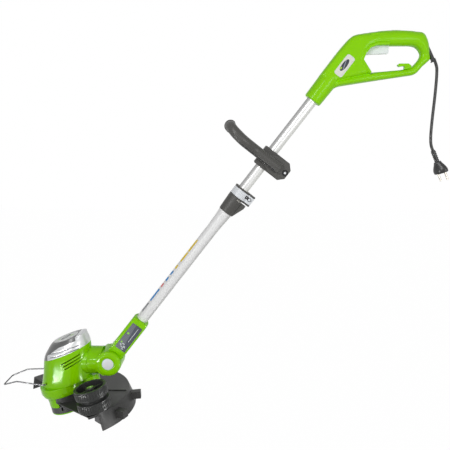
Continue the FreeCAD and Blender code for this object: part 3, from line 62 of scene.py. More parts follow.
aim = Vector((-0.385, 0.0, -0.420))
stand_azimuth = math.radians(1.6)
stand_elevation = math.radians(9.1)
stand_distance = 1.316
back = Vector((math.sin(stand_azimuth) * math.cos(stand_elevation),
               -math.cos(stand_azimuth) * math.cos(stand_elevation),
               math.sin(stand_elevation)))
camera = bpy.data.objects.new("camera", bpy.data.cameras.new("camera"))
camera.data.lens = 44.8
camera.location = aim + back * stand_distance
camera.rotation_mode = "QUATERNION"
camera.rotation_quaternion = (-back).to_track_quat("-Z", "Y")
bpy.context.scene.collection.objects.link(camera)
bpy.context.scene.camera = camera


# ---------------------------------------------------------------------------------------------
# Mains lead. A rubber-sheathed twin flex, moulded in one piece with its plug. It hangs from the
# rear of the grip under its own weight, stiff enough to hold a slow bend.

class Value:
    """A number, colour or vector in a finish; arithmetic on it adds the Math nodes."""

    def __init__(self, finish, socket):
        self.finish = finish
        self.socket = socket

    def __add__(self, other):
        return self.finish.maths("ADD", self, other)

    def __radd__(self, other):
        return self.finish.maths("ADD", other, self)

    def __sub__(self, other):
        return self.finish.maths("SUBTRACT", self, other)

    def __rsub__(self, other):
        return self.finish.maths("SUBTRACT", other, self)

    def __mul__(self, other):
        return self.finish.maths("MULTIPLY", self, other)

    def __rmul__(self, other):
        return self.finish.maths("MULTIPLY", other, self)

    def __gt__(self, other):
        return self.finish.maths("GREATER_THAN", self, other)

    def __lt__(self, other):
        return self.finish.maths("LESS_THAN", self, other)


class Finish:
    """A material: uniform values sit on the shader, and what varies comes from nodes."""

    def __init__(self, name, slot, surface):
        self.material = bpy.data.materials.new(name)
        self.material.use_nodes = True
        self.slot = slot
        self.tree = self.material.node_tree
        self.shader = self.tree.nodes["Principled BSDF"]
        for socket, value in surface.items():
            self.shader.inputs[socket].default_value = value

    def node(self, kind, settings, sockets, output=0):
        """Any node: its settings first, then the values or links of its sockets."""
        made = self.tree.nodes.new(kind)
        for name, setting in settings.items():
            if name == "stops":
                for place, colour in setting[2:]:
                    made.color_ramp.elements.new(place)
                for element, (place, colour) in zip(made.color_ramp.elements, sorted(setting)):
                    element.position = place
                    element.color = colour
            else:
                setattr(made, name, setting)
        for key, value in sockets.items():
            if isinstance(value, Value):
                self.tree.links.new(value.socket, made.inputs[key])
            else:
                made.inputs[key].default_value = value
        return Value(self, made.outputs[output])

    def maths(self, operation, *values):
        return self.node("ShaderNodeMath", {"operation": operation}, dict(enumerate(values)))

    def place(self):
        """The point on the piece, in the row's own axes."""
        return self.node("ShaderNodeTexCoord", {}, {}, "Object")

    def along(self, origin, direction):
        """Distance of the point from an origin, along a direction."""
        away = self.node("ShaderNodeVectorMath", {"operation": "SUBTRACT"}, {0: self.place(), 1: origin})
        return self.node("ShaderNodeVectorMath", {"operation": "DOT_PRODUCT"},
                         {0: away, 1: direction}, "Value")

    def noise(self, scale, detail=2.0):
        return self.node("ShaderNodeTexNoise", {}, {
            "Vector": self.place(), "Scale": scale, "Detail": detail}, "Fac")

    def blend(self, factor, first, second):
        """One colour or the other, by a factor from 0 to 1."""
        return self.node("ShaderNodeMix", {"data_type": "RGBA"}, {0: factor, 6: first, 7: second}, 2)

    def feed(self, socket, value):
        self.tree.links.new(value.socket, self.shader.inputs[socket])

    def relief(self, height, depth):
        """Bump from a height between 0 and 1, of a depth in metres."""
        self.feed("Normal", self.node("ShaderNodeBump", {}, {
            "Distance": depth, "Height": height}, "Normal"))


def shade(value):
    """A colour from its brightness as seen, red, green and blue from 0 to 255."""
    linear = [((part / 255 + 0.055) / 1.055) ** 2.4 if part > 10 else part / 255 / 12.92
              for part in value]
    return (*linear, 1.0)


def moulded(name, slot, colour, roughness, grain, depth, variety=0.06):
    """A moulded plastic or rubber: fine grain, a slight change of tone, and patchy gloss."""
    finish = Finish(name, slot, {"Roughness": roughness})
    darker = tuple(part * (1 - 2 * variety) for part in colour[:3]) + (1.0,)
    finish.feed("Base Color", finish.blend(finish.noise(18.0, detail=3.0), darker, colour))
    glossiest, spread = roughness * 0.85, roughness * 0.3
    finish.feed("Roughness", glossiest + finish.noise(60.0, detail=4.0) * spread)
    finish.relief(finish.noise(grain), depth)
    return finish


lead_black = moulded("lead_black", "lead_rubber", shade((36, 36, 36)), 0.3, 900.0, 0.00008)

LEAD_POINTS = (      # x and z of its bends, from the grip down to the plug
    (0.07875, -0.04336),
    (0.0862, -0.0586),
    (0.0874, -0.0710),
    (0.0874, -0.0940),
    (0.0859, -0.1300),
    (0.0833, -0.1700),
    (0.0820, -0.2000),
    (0.0819, -0.2180),
    (0.0830, -0.2300),
    (0.0850, -0.2385),
    (0.0884, -0.2461))
lead_diameter = 0.0066

lead_curve = bpy.data.curves.new("mains_lead", "CURVE")
lead_curve.dimensions = "3D"
lead_curve.bevel_depth = lead_diameter / 2
lead_curve.bevel_resolution = 6
lead_curve.resolution_u = 16
lead_curve.use_fill_caps = True
lead_line = lead_curve.splines.new("NURBS")
lead_line.points.add(len(LEAD_POINTS) - 1)
for point, (x, z) in zip(lead_line.points, LEAD_POINTS):
    point.co = (x, 0.0, z, 1.0)
lead_line.order_u = 3
lead_line.use_endpoint_u = True
mains_lead = bpy.data.objects.new("mains_lead", lead_curve)
bpy.context.scene.collection.objects.link(mains_lead)
lead_curve.materials.append(lead_black.material)
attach(mains_lead, "handle")
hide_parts("power_cord")


def coat(node, finish):
    """Give a solid whose shape is right its finish."""
    for held in frame["nodes"][node].material_slots:
        held.material = finish.material


for name in ("plug_sleeve", "plug_body"):
    coat(name, lead_black)

plug_nickel = Finish("plug_nickel", "plated_brass", {"Metallic": 1.0, "Roughness": 0.25})
plug_nickel.feed("Base Color", plug_nickel.blend(
    plug_nickel.noise(300.0), shade((176, 170, 160)), shade((214, 210, 202))))
coat("plug_pins", plug_nickel)


# ---------------------------------------------------------------------------------------------
# Shaft. Two drawn aluminium tubes, the upper one bright and the lower one lacquered silver-white,
# with a printed scale of coloured stripes along the lower one. They telescope at the collar.

joints = {joint["name"]: joint for joint in frame["joints"]}
pivot = Vector(joints["head_tilt"]["pos_m"])
up_shaft = Vector(joints["lock_flip"]["axis"])
across_shaft = Vector((up_shaft.z, 0.0, -up_shaft.x))
near_side = (0.0, -1.0, 0.0)


def axes(origin, across, along):
    """The frame of a group of pieces: X across, Y away from the near side, Z along."""
    turn = Matrix((across, Vector((0.0, 1.0, 0.0)), along)).transposed().to_4x4()
    return Matrix.Translation(origin) @ turn


shaft = axes(pivot, across_shaft, up_shaft)


def band(value, low, high):
    """1 where a value lies between two levels."""
    return (value > low) * (value < high)


def solid_copy(node):
    """A solid's triangles merged into clean faces, ready to be worked on."""
    shape = bmesh.new()
    shape.from_mesh(frame["nodes"][node].data)
    bmesh.ops.remove_doubles(shape, verts=shape.verts, dist=0.000005)
    bmesh.ops.dissolve_limit(shape, angle_limit=math.radians(0.5), verts=shape.verts,
                             edges=shape.edges, use_dissolve_boundaries=False)
    return shape


crisp = math.radians(32.0)      # edges sharper than this stay crisp, or are rounded


def shown(name, shape, finish, body, stands_for=(), edge=0.0):
    """Stand a finished mesh on its body: smooth, with sharp edges kept or rounded by a width."""
    mesh = bpy.data.meshes.new(name)
    shape.to_mesh(mesh)
    shape.free()
    for face in mesh.polygons:
        face.use_smooth = True
    mesh.set_sharp_from_angle(angle=crisp)
    piece = bpy.data.objects.new(name, mesh)
    bpy.context.scene.collection.objects.link(piece)
    if edge:
        rounding = piece.modifiers.new("rounding", "BEVEL")
        rounding.width = edge
        rounding.segments = 3
        rounding.limit_method = "ANGLE"
        rounding.angle_limit = crisp
        rounding.harden_normals = True
        rounding.use_clamp_overlap = False
    mesh.materials.append(finish.material)
    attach(piece, body)
    if stands_for:
        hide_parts(*stands_for)
    return piece


def dress(node, finish, body, edge=0.0004):
    """A clean copy of a solid with its edges rounded stands for it."""
    shown(node + ".moulding", solid_copy(node), finish, body, (node,), edge)


upper_width = 0.025
bright_tube = Finish("bright_tube", "bright_aluminium", {"Metallic": 0.35, "Roughness": 0.3})
# Painted shade: the upper tube's colour runs from grey at one edge to bright across it, as light falling
# from one side would make it.
drawn_lines = bright_tube.noise(45.0) * 0.12
painted_shade_across = bright_tube.along(pivot, across_shaft) * (1 / upper_width) + 0.5 + drawn_lines
bright_tube.feed("Base Color", bright_tube.node("ShaderNodeValToRGB", {"stops": (
    (0.02, shade((150, 150, 150))), (0.3, shade((205, 205, 204))), (0.62, shade((236, 236, 235))),
    (0.98, shade((222, 223, 218))))}, {"Fac": painted_shade_across}))
bright_tube.feed("Roughness", 0.26 + bright_tube.noise(30.0) * 0.08)
dress("upper_tube", bright_tube, "handle", edge=0.0)

white_tube = Finish("lacquered_tube", "bright_aluminium",
                    {"Metallic": 0.0, "Roughness": 0.3, "Specular IOR Level": 0.25})
# Painted shade: the lower tube's colour is brightest near the middle and greyer towards one edge across
# it, as light from one side would make it.
painted_shade_scale = 34.0      # a little under one over the tube's width, so that its edges keep their tone
up_tube = white_tube.along(pivot, up_shaft)
round_tube = white_tube.along(pivot, across_shaft)
painted_shade_and_stripes = white_tube.node("ShaderNodeValToRGB", {"stops": (
    (0.05, shade((236, 236, 236))), (0.5, shade((244, 244, 244))), (0.72, shade((238, 238, 238))),
    (0.98, shade((212, 212, 210))))},
    {"Fac": round_tube * painted_shade_scale + 0.5 + white_tube.noise(60.0) * 0.05})
scale_sides = (-0.0136, -0.0102)
SCALE_STRIPES = (        # from and to, up the shaft, and the ink
    (0.150, 0.176, (150, 152, 156)),
    (0.184, 0.2197, (58, 146, 216)),
    (0.2268, 0.2372, (236, 130, 130)),
    (0.2455, 0.2564, (58, 146, 216)),
    (0.2646, 0.2759, (58, 146, 216)),
    (0.2835, 0.2938, (240, 206, 20)),
    (0.3045, 0.3328, (240, 206, 20)),
    (0.3357, 0.3705, (240, 206, 20)))
on_line = band(round_tube, *scale_sides) * (white_tube.along(pivot, near_side) > 0.0)
# The printed stripes of the scale go over the painted shade.
for low, high, colour in SCALE_STRIPES:
    painted_shade_and_stripes = white_tube.blend(on_line * band(up_tube, low, high), painted_shade_and_stripes, shade(colour))
white_tube.feed("Base Color", painted_shade_and_stripes)
white_tube.feed("Roughness", 0.28 + white_tube.noise(30.0) * 0.06)
dress("lower_tube", white_tube, "lower_shaft", edge=0.0)


# ---------------------------------------------------------------------------------------------
# Collar. A glass-filled nylon sleeve over the flared tube, with a split clamp ring that a pale
# flip lever closes on a steel pin. The lever carries a padlock sign for locked.

charcoal = moulded("charcoal_nylon", "charcoal_plastic", shade((66, 65, 62)), 0.5, 700.0, 0.00006)
dress("clamp_collar", charcoal, "lower_shaft")

PADLOCK_BODY = ((0.0140, 0.0222), (0.5165, 0.5242))      # its sides across, and its ends up the shaft
KEYHOLE = ((0.0172, 0.0192), (0.5190, 0.5218))
bow_middle = (0.0265, 0.5195)
bow_radii = (0.0031, 0.0047)


def block(across, up, sides):
    """1 inside a rectangle."""
    return band(across, *sides[0]) * band(up, *sides[1])


lever_paint = Finish("lever_plastic", "pale_plastic", {"Roughness": 0.32})
lever_across = lever_paint.along(pivot, across_shaft)
lever_up = lever_paint.along(pivot, up_shaft)
bow_across = lever_across - bow_middle[0]
bow_up = lever_up - bow_middle[1]
bow = band(bow_across * bow_across + bow_up * bow_up, bow_radii[0] ** 2, bow_radii[1] ** 2)
body = block(lever_across, lever_up, PADLOCK_BODY) * (1 - block(lever_across, lever_up, KEYHOLE))
sign = lever_paint.maths("MAXIMUM", bow, body) * (lever_paint.along(pivot, near_side) > 0.0)
lever_plain = lever_paint.blend(lever_paint.noise(30.0), shade((218, 222, 227)), shade((232, 235, 238)))
lever_paint.feed("Base Color", lever_paint.blend(sign, lever_plain, shade((22, 22, 24))))
lever_paint.relief(lever_paint.noise(500.0), 0.00002)
dress("lock_lever", lever_paint, "lock_lever")

steel = Finish("zinc_steel", "zinc_steel", {"Metallic": 1.0, "Roughness": 0.3})
steel.feed("Base Color", steel.blend(
    steel.noise(220.0, detail=3.0), shade((150, 152, 156)), shade((196, 198, 202))))
steel.feed("Roughness", 0.24 + steel.noise(90.0) * 0.16)
coat("lever_pin", steel)
bush_white = moulded("bush_nylon", "white_nylon", shade((222, 220, 212)), 0.45, 500.0, 0.00003,
                     variety=0.02)
coat("collar_bush", bush_white)


# ---------------------------------------------------------------------------------------------
# Lower bracket. Two green mouldings screwed together round the end of the tube, with the barrel
# of the tilt joint, and a slate film label let into the near face.

green = Finish("lime_plastic", "green_plastic", {"Specular IOR Level": 0.14})
green.feed("Base Color", green.blend(
    green.noise(14.0, detail=3.0), shade((136, 213, 0)), shade((146, 221, 0))))
green.feed("Roughness", 0.13 + green.noise(70.0, detail=4.0) * 0.08)
green.relief(green.noise(120.0), 0.00002)


def reach(node, base):
    """The lowest and highest corner of a solid in a group's own axes."""
    spots = np.array([base.inverted() @ vert.co for vert in frame["nodes"][node].data.vertices])
    return Vector(spots.min(axis=0)), Vector(spots.max(axis=0))


def in_frame(node, base):
    """A clean copy of a solid in a group's own axes."""
    shape = solid_copy(node)
    bmesh.ops.transform(shape, matrix=base.inverted(), verts=shape.verts)
    return shape


def stand(name, shape, base, finish, body, stands_for, edge=0.0004):
    """Put a shape from its group's axes in place and show it."""
    bmesh.ops.transform(shape, matrix=base, verts=shape.verts)
    shown(name, shape, finish, body, stands_for, edge)


bracket_half = 0.022      # from the middle plane to the far face
barrel_end = 0.036        # up the shaft from the tilt joint
far_taper = 0.30          # how much narrower the far face is than the middle
far_share = 0.86          # how deep the far half is beside the near one
tube_mouth = 0.0151
mouth_round = 0.0022
bracket_high = reach("bracket_near", shaft)[1].z


def on_mouth_rim(edge):
    """A sharp edge of the outer rim of the mouth that takes the tube."""
    return (all(vert.co.z > bracket_high - 0.0001 and max(abs(vert.co.x), abs(vert.co.y)) > tube_mouth
                for vert in edge.verts) and edge.is_manifold and edge.calc_face_angle(0.0) > 0.6)


for node in ("bracket_near", "bracket_far"):
    half = in_frame(node, shaft)
    for vert in half.verts:
        if vert.co.y > 0.0 and vert.co.z > barrel_end:
            vert.co.x *= 1.0 - far_taper * (vert.co.y / bracket_half) ** 2
            vert.co.y *= far_share
    bmesh.ops.bevel(half, geom=[edge for edge in half.edges if on_mouth_rim(edge)], offset=mouth_round,
                    segments=4, profile=0.5, affect="EDGES", material=-1, clamp_overlap=True)
    stand(node + ".moulding", half, shaft, green, "lower_shaft", (node,))
coat("bracket_screws", steel)

LABEL_DOTS = ((-0.0063, 0.0905, 0.0028), (-0.0067, 0.0635, 0.0022))      # across, up and radius
LABEL_CHIPS = (           # across, up, half width and half height
    (0.0005, 0.0615, 0.0034, 0.0012), (-0.0046, 0.0570, 0.0022, 0.0020),
    (0.0060, 0.0560, 0.0026, 0.0022), (0.0010, 0.0530, 0.0036, 0.0011),
    (0.0050, 0.0495, 0.0024, 0.0010))
LABEL_RULE = ((0.0062, 0.0074), (0.072, 0.113))
hatch_per_metre, hatch_share = 260.0, 0.4
shade_edge, shade_lean, shade_from = 0.0015, 0.12, 0.082
chip_lean = 0.5


def disc(across, up, middle, radius):
    """1 inside a circle."""
    away = across - middle[0]
    above = up - middle[1]
    return (away * away + above * above) < radius ** 2


slate = Finish("slate_label", "slate_film", {"Roughness": 0.28})
label_across = slate.along(pivot, across_shaft)
label_up = slate.along(pivot, up_shaft)
label_tone = slate.blend(slate.noise(200.0, detail=3.0), shade((60, 66, 80)), shade((76, 82, 96)))
in_hatch = band(slate.maths("FRACT", label_up * hatch_per_metre), 0.0, hatch_share)
lighter = (label_across + (label_up - shade_from) * shade_lean) < shade_edge
label_tone = slate.blend(lighter, label_tone, slate.blend(
    in_hatch, shade((112, 117, 126)), shade((98, 103, 113))))
label_tone = slate.blend(block(label_across, label_up, LABEL_RULE), label_tone, shade((226, 230, 234)))
for across, up, radius in LABEL_DOTS:
    label_tone = slate.blend(disc(label_across, label_up, (across, up), radius), label_tone,
                             shade((150, 220, 70)))
for across, up, half_width, half_height in LABEL_CHIPS:
    chip = (band(label_across + (label_up - up) * chip_lean, across - half_width, across + half_width)
            * band(label_up, up - half_height, up + half_height))
    label_tone = slate.blend(chip, label_tone, shade((206, 212, 214)))
slate.feed("Base Color", label_tone)
coat("bracket_label", slate)


# ---------------------------------------------------------------------------------------------
# Neck. Two green mouldings make the fork of the tilt joint and the spigot that the head turns on.
# A pale button through the near cheek lets the tilt go.

def joined(*shapes):
    """Several shapes as one."""
    whole = bmesh.new()
    for shape in shapes:
        part = bpy.data.meshes.new("part")
        shape.to_mesh(part)
        shape.free()
        whole.from_mesh(part)
        bpy.data.meshes.remove(part)
    return whole


def turned(profile, origin, axis):
    """A closed profile of (radius, height) spun round an axis."""
    shape = bmesh.new()
    spots = [shape.verts.new((radius, 0.0, height)) for radius, height in profile]
    for low, high in zip(spots, spots[1:] + spots[:1]):
        shape.edges.new((low, high))
    bmesh.ops.spin(shape, geom=shape.verts[:] + shape.edges[:], cent=(0, 0, 0), axis=(0, 0, 1),
                   angle=math.tau, steps=64, use_merge=True)
    bmesh.ops.remove_doubles(shape, verts=shape.verts, dist=0.00001)
    bmesh.ops.recalc_face_normals(shape, faces=shape.faces[:])
    turn = Vector(axis).to_track_quat("Z", "X").to_matrix().to_4x4()
    bmesh.ops.transform(shape, matrix=Matrix.Translation(origin) @ turn, verts=shape.verts)
    return shape


CHEEK_RING = (            # radius and distance from the middle plane, round the section
    (0.0143, 0.0206), (0.0143, 0.0312), (0.0147, 0.0318), (0.0158, 0.0324), (0.0190, 0.0330),
    (0.0235, 0.0329), (0.0262, 0.0323), (0.0284, 0.0312), (0.0299, 0.0294), (0.0307, 0.0272),
    (0.0310, 0.0245), (0.0310, 0.0206))
cheek_face = 0.0305
cheek_radius = 0.0285
tucked_radius = 0.0275    # the cheek's own rim goes under the ring's rounding
root_side = -0.010        # past this, towards the spigot, the cheek is left as it is
for node, side in (("neck_near", -1.0), ("neck_far", 1.0)):
    half = solid_copy(node)
    for vert in half.verts:
        away = vert.co - pivot
        spread = math.hypot(away.x, away.z)
        if abs(away.y) > cheek_face and spread > cheek_radius and away.x > root_side:
            vert.co.x = pivot.x + away.x * tucked_radius / spread
            vert.co.z = pivot.z + away.z * tucked_radius / spread
    whole = joined(half, turned(CHEEK_RING, pivot, (0.0, side, 0.0)))
    shown(node + ".moulding", whole, green, "neck", (node,), 0.0004)
dress("neck_ring", green, "head", edge=0.0009)
pale = moulded("pale_plastic", "pale_plastic", shade((236, 240, 242)), 0.35, 500.0, 0.00003, variety=0.02)
dress("tilt_button", pale, "tilt_button", edge=0.001)
for name in ("tilt_axle", "neck_screws", "button_spring"):
    coat(name, steel)


# ---------------------------------------------------------------------------------------------
# Motor housing. A deep green oval moulding with vent slots, the port for the neck and the ears
# of the wire guide. It is screwed down to the skirt, and its front end leans in a little.

up_head = Vector(joints["spool_spin"]["axis"])
across_head = Vector((up_head.z, 0.0, -up_head.x))
head = axes(pivot, across_head, up_head)
front_start = -0.115      # across the head from the tilt joint
housing_lean = 0.09


def drawn_in(shape, share):
    """Draw the front end of a casing in, by a share of its length past the front's start."""
    for vert in shape.verts:
        if vert.co.x < front_start:
            vert.co.x += (front_start - vert.co.x) * share
    return shape


stand("motor_housing.moulding", drawn_in(in_frame("motor_housing", head), housing_lean), head,
      green, "head", ("motor_housing",), 0.0006)


# ---------------------------------------------------------------------------------------------
# Cap. A silver-painted moulding clipped on top of the housing, with a dark front panel, two
# grooves along each side, and a pale oval plate stuck on its sloping top.

panel_line = (0.0695, 0.165, -0.084)      # height, slope, and where it has that height
panel_back, panel_nose = -0.0615, -0.1385
panel_fall_start, panel_fall = -0.102, 0.30
GROOVES = ((0.0578, 0.108, -0.0903), (0.0500, 0.107, -0.0915))      # as the panel's line
groove_half = 0.0011
groove_shade_half = groove_half * 0.9
groove_ends = (-0.1315, -0.0560)
groove_lip, groove_depth = 0.0003, 0.0010

silver = Finish("cap_paint", "silver_plastic", {"Roughness": 0.28})
cap_across = silver.along(pivot, across_head)
cap_up = silver.along(pivot, up_head)
fall = silver.maths("MAXIMUM", panel_fall_start - cap_across, 0.0) * panel_fall
panel_level = panel_line[0] - panel_line[1] * panel_line[2]
above_line = (cap_up - cap_across * panel_line[1] + fall) > panel_level
in_panel = silver.maths("MAXIMUM", above_line * (cap_across < panel_back), cap_across < panel_nose)
# Painted shade: the floors of the cut grooves are also painted darker grey, standing in for the shade
# that falls in them.
groove_painted_shade = 0
for level_up, slope, where in GROOVES:
    level = level_up - slope * where
    groove_painted_shade = groove_painted_shade + band(cap_up - cap_across * slope, level - groove_shade_half, level + groove_shade_half)
tone = silver.blend(silver.noise(60.0, detail=3.0), shade((212, 214, 215)), shade((232, 233, 234)))
tone = silver.blend(groove_painted_shade * band(cap_across, *groove_ends), tone, shade((120, 122, 124)))
silver.feed("Base Color", silver.blend(in_panel, tone, silver.blend(
    silver.noise(90.0, detail=3.0), shade((92, 93, 93)), shade((108, 109, 109)))))
silver.feed("Metallic", 0.3 - in_panel * 0.25)
silver.relief(silver.noise(500.0), 0.000004)


def ease(value, low, high):
    """0 below one level, 1 above the other, and a smooth rise between."""
    share = min(max((value - low) / (high - low), 0.0), 1.0)
    return share * share * (3.0 - 2.0 * share)


crown_start, crown_slope = -0.060, 0.06
crown_low, crown_high = 0.055, 0.068
cap = in_frame("top_cap", head)
for vert in cap.verts:
    if vert.co.x < crown_start:
        vert.co.z += (crown_start - vert.co.x) * crown_slope * ease(vert.co.z, crown_low, crown_high)
drawn_in(cap, housing_lean)


def split(shape, spot, square_to):
    """Cut edges into a shape along a plane, without parting it."""
    bmesh.ops.bisect_plane(shape, geom=shape.verts[:] + shape.edges[:] + shape.faces[:],
                           dist=0.000001, plane_co=spot, plane_no=square_to)


cap_middle = -0.095
wall_lean, flat_lean = 0.25, 0.93


def outer_side(face):
    """A face of the outer wall, not of the inside or of the top."""
    centre = face.calc_center_median()
    outwards = Vector((centre.x - cap_middle, centre.y, 0.0)).normalized()
    return face.normal.dot(outwards) > wall_lean and face.normal.z < flat_lean


def in_trough(face, groove):
    """A face of the outer wall that lies in a groove."""
    level_up, slope, where = groove
    centre = face.calc_center_median()
    return (outer_side(face) and groove_ends[0] < centre.x < groove_ends[1]
            and abs(centre.z - level_up - slope * (centre.x - where)) < groove_half)


for end in groove_ends + (panel_back, panel_nose):
    split(cap, (end, 0.0, 0.0), (1.0, 0.0, 0.0))
for level_up, slope, where in GROOVES:
    for offset in (-groove_half, groove_half):
        split(cap, (where, 0.0, level_up + offset), (-slope, 0.0, 1.0))
split(cap, (panel_line[2], 0.0, panel_line[0]), (-panel_line[1], 0.0, 1.0))
cap.faces.ensure_lookup_table()
for groove in GROOVES:
    bmesh.ops.inset_region(cap, faces=[face for face in cap.faces if in_trough(face, groove)],
                           thickness=groove_lip, depth=-groove_depth, use_even_offset=True)
stand("top_cap.moulding", cap, head, silver, "head", ("top_cap",), 0.0)

plate_middle = Vector((-0.0938, 0.0, 0.0768))
plate_half = (0.0310, 0.0265)
plate_thickness, plate_sunk = 0.0014, 0.0004
plate_lean = -math.radians(6.8)
plate = bmesh.new()
bmesh.ops.create_circle(plate, cap_ends=True, segments=64, radius=1.0)
bmesh.ops.scale(plate, vec=(*plate_half, 1.0), verts=plate.verts)
lifted = bmesh.ops.extrude_face_region(plate, geom=plate.faces[:])["geom"]
bmesh.ops.translate(plate, vec=(0.0, 0.0, plate_thickness),
                    verts=[part for part in lifted if isinstance(part, bmesh.types.BMVert)])
bmesh.ops.recalc_face_normals(plate, faces=plate.faces[:])
bmesh.ops.transform(plate, matrix=Matrix.Translation(plate_middle - Vector((0.0, 0.0, plate_sunk)))
                    @ Matrix.Rotation(plate_lean, 4, "Y"), verts=plate.verts)


def oval(across, up, half_width, half_height):
    """1 inside an oval."""
    return (across * across * (1 / half_width ** 2) + up * up * (1 / half_height ** 2)) < 1.0


PLATE_OVALS = (           # across, aside, half width, half length and colour
    (0.000, 0.000, 0.0085, 0.0150, (44, 50, 58)),
    (-0.001, 0.001, 0.0030, 0.0100, (200, 205, 202)),
    (-0.0150, -0.004, 0.0030, 0.0040, (140, 205, 60)),
    (0.0155, 0.000, 0.0042, 0.0060, (140, 205, 60)))
oval_lean = 0.35
badge_paint = Finish("cap_plate", "badge_film", {"Roughness": 0.3})
plate_side = badge_paint.along(head @ plate_middle, (0.0, 1.0, 0.0))
leaning = badge_paint.along(head @ plate_middle, across_head) - plate_side * oval_lean
plate_tone = badge_paint.blend(badge_paint.noise(120.0), shade((224, 228, 224)), shade((236, 239, 236)))
for across, side, half_width, half_length, colour in PLATE_OVALS:
    plate_tone = badge_paint.blend(
        oval(leaning - across, plate_side - side, half_width, half_length), plate_tone, shade(colour))
badge_paint.feed("Base Color", plate_tone)
stand("cap_badge.plate", plate, head, badge_paint, "head", ("cap_badge",), 0.0005)


# ---------------------------------------------------------------------------------------------
# Base. A green moulded skirt that closes the head from below, round the spool. Screws from
# underneath hold it to the motor housing.

skirt_lean = 0.10
stand("base_skirt.moulding", drawn_in(in_frame("base_skirt", head), skirt_lean), head,
      green, "head", ("base_skirt",), 0.0012)
coat("base_screws", steel)


# ---------------------------------------------------------------------------------------------
# Motor and spool. A steel-canned brush motor with ferrite magnets and a fan stands in the head.
# Its shaft turns a nylon spool, whose reel of line feeds when the knob below is bumped.

for name in ("motor_can", "motor_bearings", "motor_shaft", "bump_spring"):
    coat(name, steel)
ferrite = moulded("ferrite", "ferrite", shade((52, 52, 54)), 0.7, 400.0, 0.00005)
coat("motor_magnets", ferrite)
coat("cooling_fan", bush_white)
charcoal_black = moulded("black_nylon", "black_plastic", shade((30, 30, 31)), 0.4, 700.0, 0.00005)
dress("spool_housing", charcoal_black, "rotor")
dress("spool_cover", green, "rotor")
dress("bump_knob", charcoal_black, "bump_cap")
coat("line_reel", charcoal_black)
line_nylon = moulded("cutting_line", "nylon_line", shade((70, 76, 66)), 0.35, 300.0, 0.00005)
coat("line_winding", line_nylon)


# ---------------------------------------------------------------------------------------------
# Guard. A grey nylon shield screwed under the skirt on the user's side, with a moulded line that
# stiffens its top. A spring-steel blade on its edge trims the line to length.

guard_grey = moulded("guard_nylon", "guard_plastic", shade((64, 64, 63)), 0.4, 500.0, 0.00003)
guard_grey.shader.inputs["Specular IOR Level"].default_value = 0.2
dress("guard", guard_grey, "head")
stiffener_size = (0.060, 0.0022, 0.0030)
stiffener_round = 0.0006
stiffener_middle = (-0.0110, 0.0062, -0.0829)
stiffener_swing, stiffener_slope = -0.10, math.radians(9.0)
stiffener = bmesh.new()
bmesh.ops.create_cube(stiffener, size=1.0, matrix=Matrix.Diagonal((*stiffener_size, 1.0)))
bmesh.ops.bevel(stiffener, geom=stiffener.edges[:], offset=stiffener_round, segments=2, profile=0.5,
                affect="EDGES", material=-1)
bmesh.ops.transform(stiffener, verts=stiffener.verts, matrix=Matrix.Translation(stiffener_middle)
                    @ Matrix.Rotation(stiffener_swing, 4, "Z") @ Matrix.Rotation(stiffener_slope, 4, "Y"))
stand("guard.stiffener", stiffener, head, guard_grey, "head", (), 0.0)
coat("guard_screws", steel)
cutter_steel = moulded("blued_steel", "spring_steel", shade((70, 70, 72)), 0.4, 300.0, 0.00002)
coat("line_cutter", cutter_steel)


# ---------------------------------------------------------------------------------------------
# Edging wheel. A black double wheel with two ribbed treads, moulded in one piece. It rolls on a
# steel pin at the guard's arm when the head is turned to cut along an edge.

tread_size = (0.0022, 0.0042, 0.0150)
tread_round = 0.0005
tread_sunk = 0.0003
tread_count = 40
rim_inset = 0.0108
wheel_black = moulded("wheel_rubber", "wheel_rubber", shade((62, 63, 62)), 0.3, 400.0, 0.00004)
wheel_black.shader.inputs["Specular IOR Level"].default_value = 0.15
wheel_low, wheel_high = reach("edge_wheel", head)
wheel_middle = (wheel_low + wheel_high) / 2
wheel_radius = (wheel_high.x - wheel_low.x) / 2
dress("edge_wheel", wheel_black, "edge_wheel")
tread = bmesh.new()
bmesh.ops.create_cube(tread, size=1.0, matrix=Matrix.Diagonal((*tread_size, 1.0)))
bmesh.ops.bevel(tread, geom=tread.edges[:], offset=tread_round, segments=2, profile=0.5,
                affect="EDGES", material=-1)
tread_mesh = bpy.data.meshes.new("tread")
tread.to_mesh(tread_mesh)
tread.free()
ribs = bmesh.new()
for rim_level in (wheel_low.z + rim_inset, wheel_high.z - rim_inset):
    hub = Matrix.Translation((wheel_middle.x, wheel_middle.y, rim_level))
    for turn in range(tread_count):
        count = len(ribs.verts)
        ribs.from_mesh(tread_mesh)
        bmesh.ops.transform(
            ribs, verts=ribs.verts[count:],
            matrix=hub @ Matrix.Rotation(math.tau * turn / tread_count, 4, "Z")
            @ Matrix.Translation((wheel_radius - tread_sunk, 0.0, 0.0)))
bpy.data.meshes.remove(tread_mesh)
stand("edge_wheel.ribs", ribs, head, wheel_black, "edge_wheel", (), 0.0)
coat("wheel_axle", steel)


# ---------------------------------------------------------------------------------------------
# Wire edge guide. One length of plated steel wire bent to a loop. Its ends snap into the ears of
# the motor housing, so that it folds up out of the way.

wire = Finish("plated_wire", "plated_wire", {"Metallic": 0.6, "Roughness": 0.4})
wire.feed("Base Color", wire.blend(wire.noise(300.0), shade((84, 84, 86)), shade((120, 120, 122))))
coat("wire_guide", wire)


# ---------------------------------------------------------------------------------------------
# Front handle. A charcoal nylon loop with a strip of slots, whose openings are painted near black as
# shade rather than cut, and a round grip bar, bent up a little towards its outer end. Two clamp blocks
# and a cross bolt hold it on the upper tube.

dress("clamp_block_near", charcoal, "aux_clamp")
dress("clamp_block_far", charcoal, "aux_clamp")

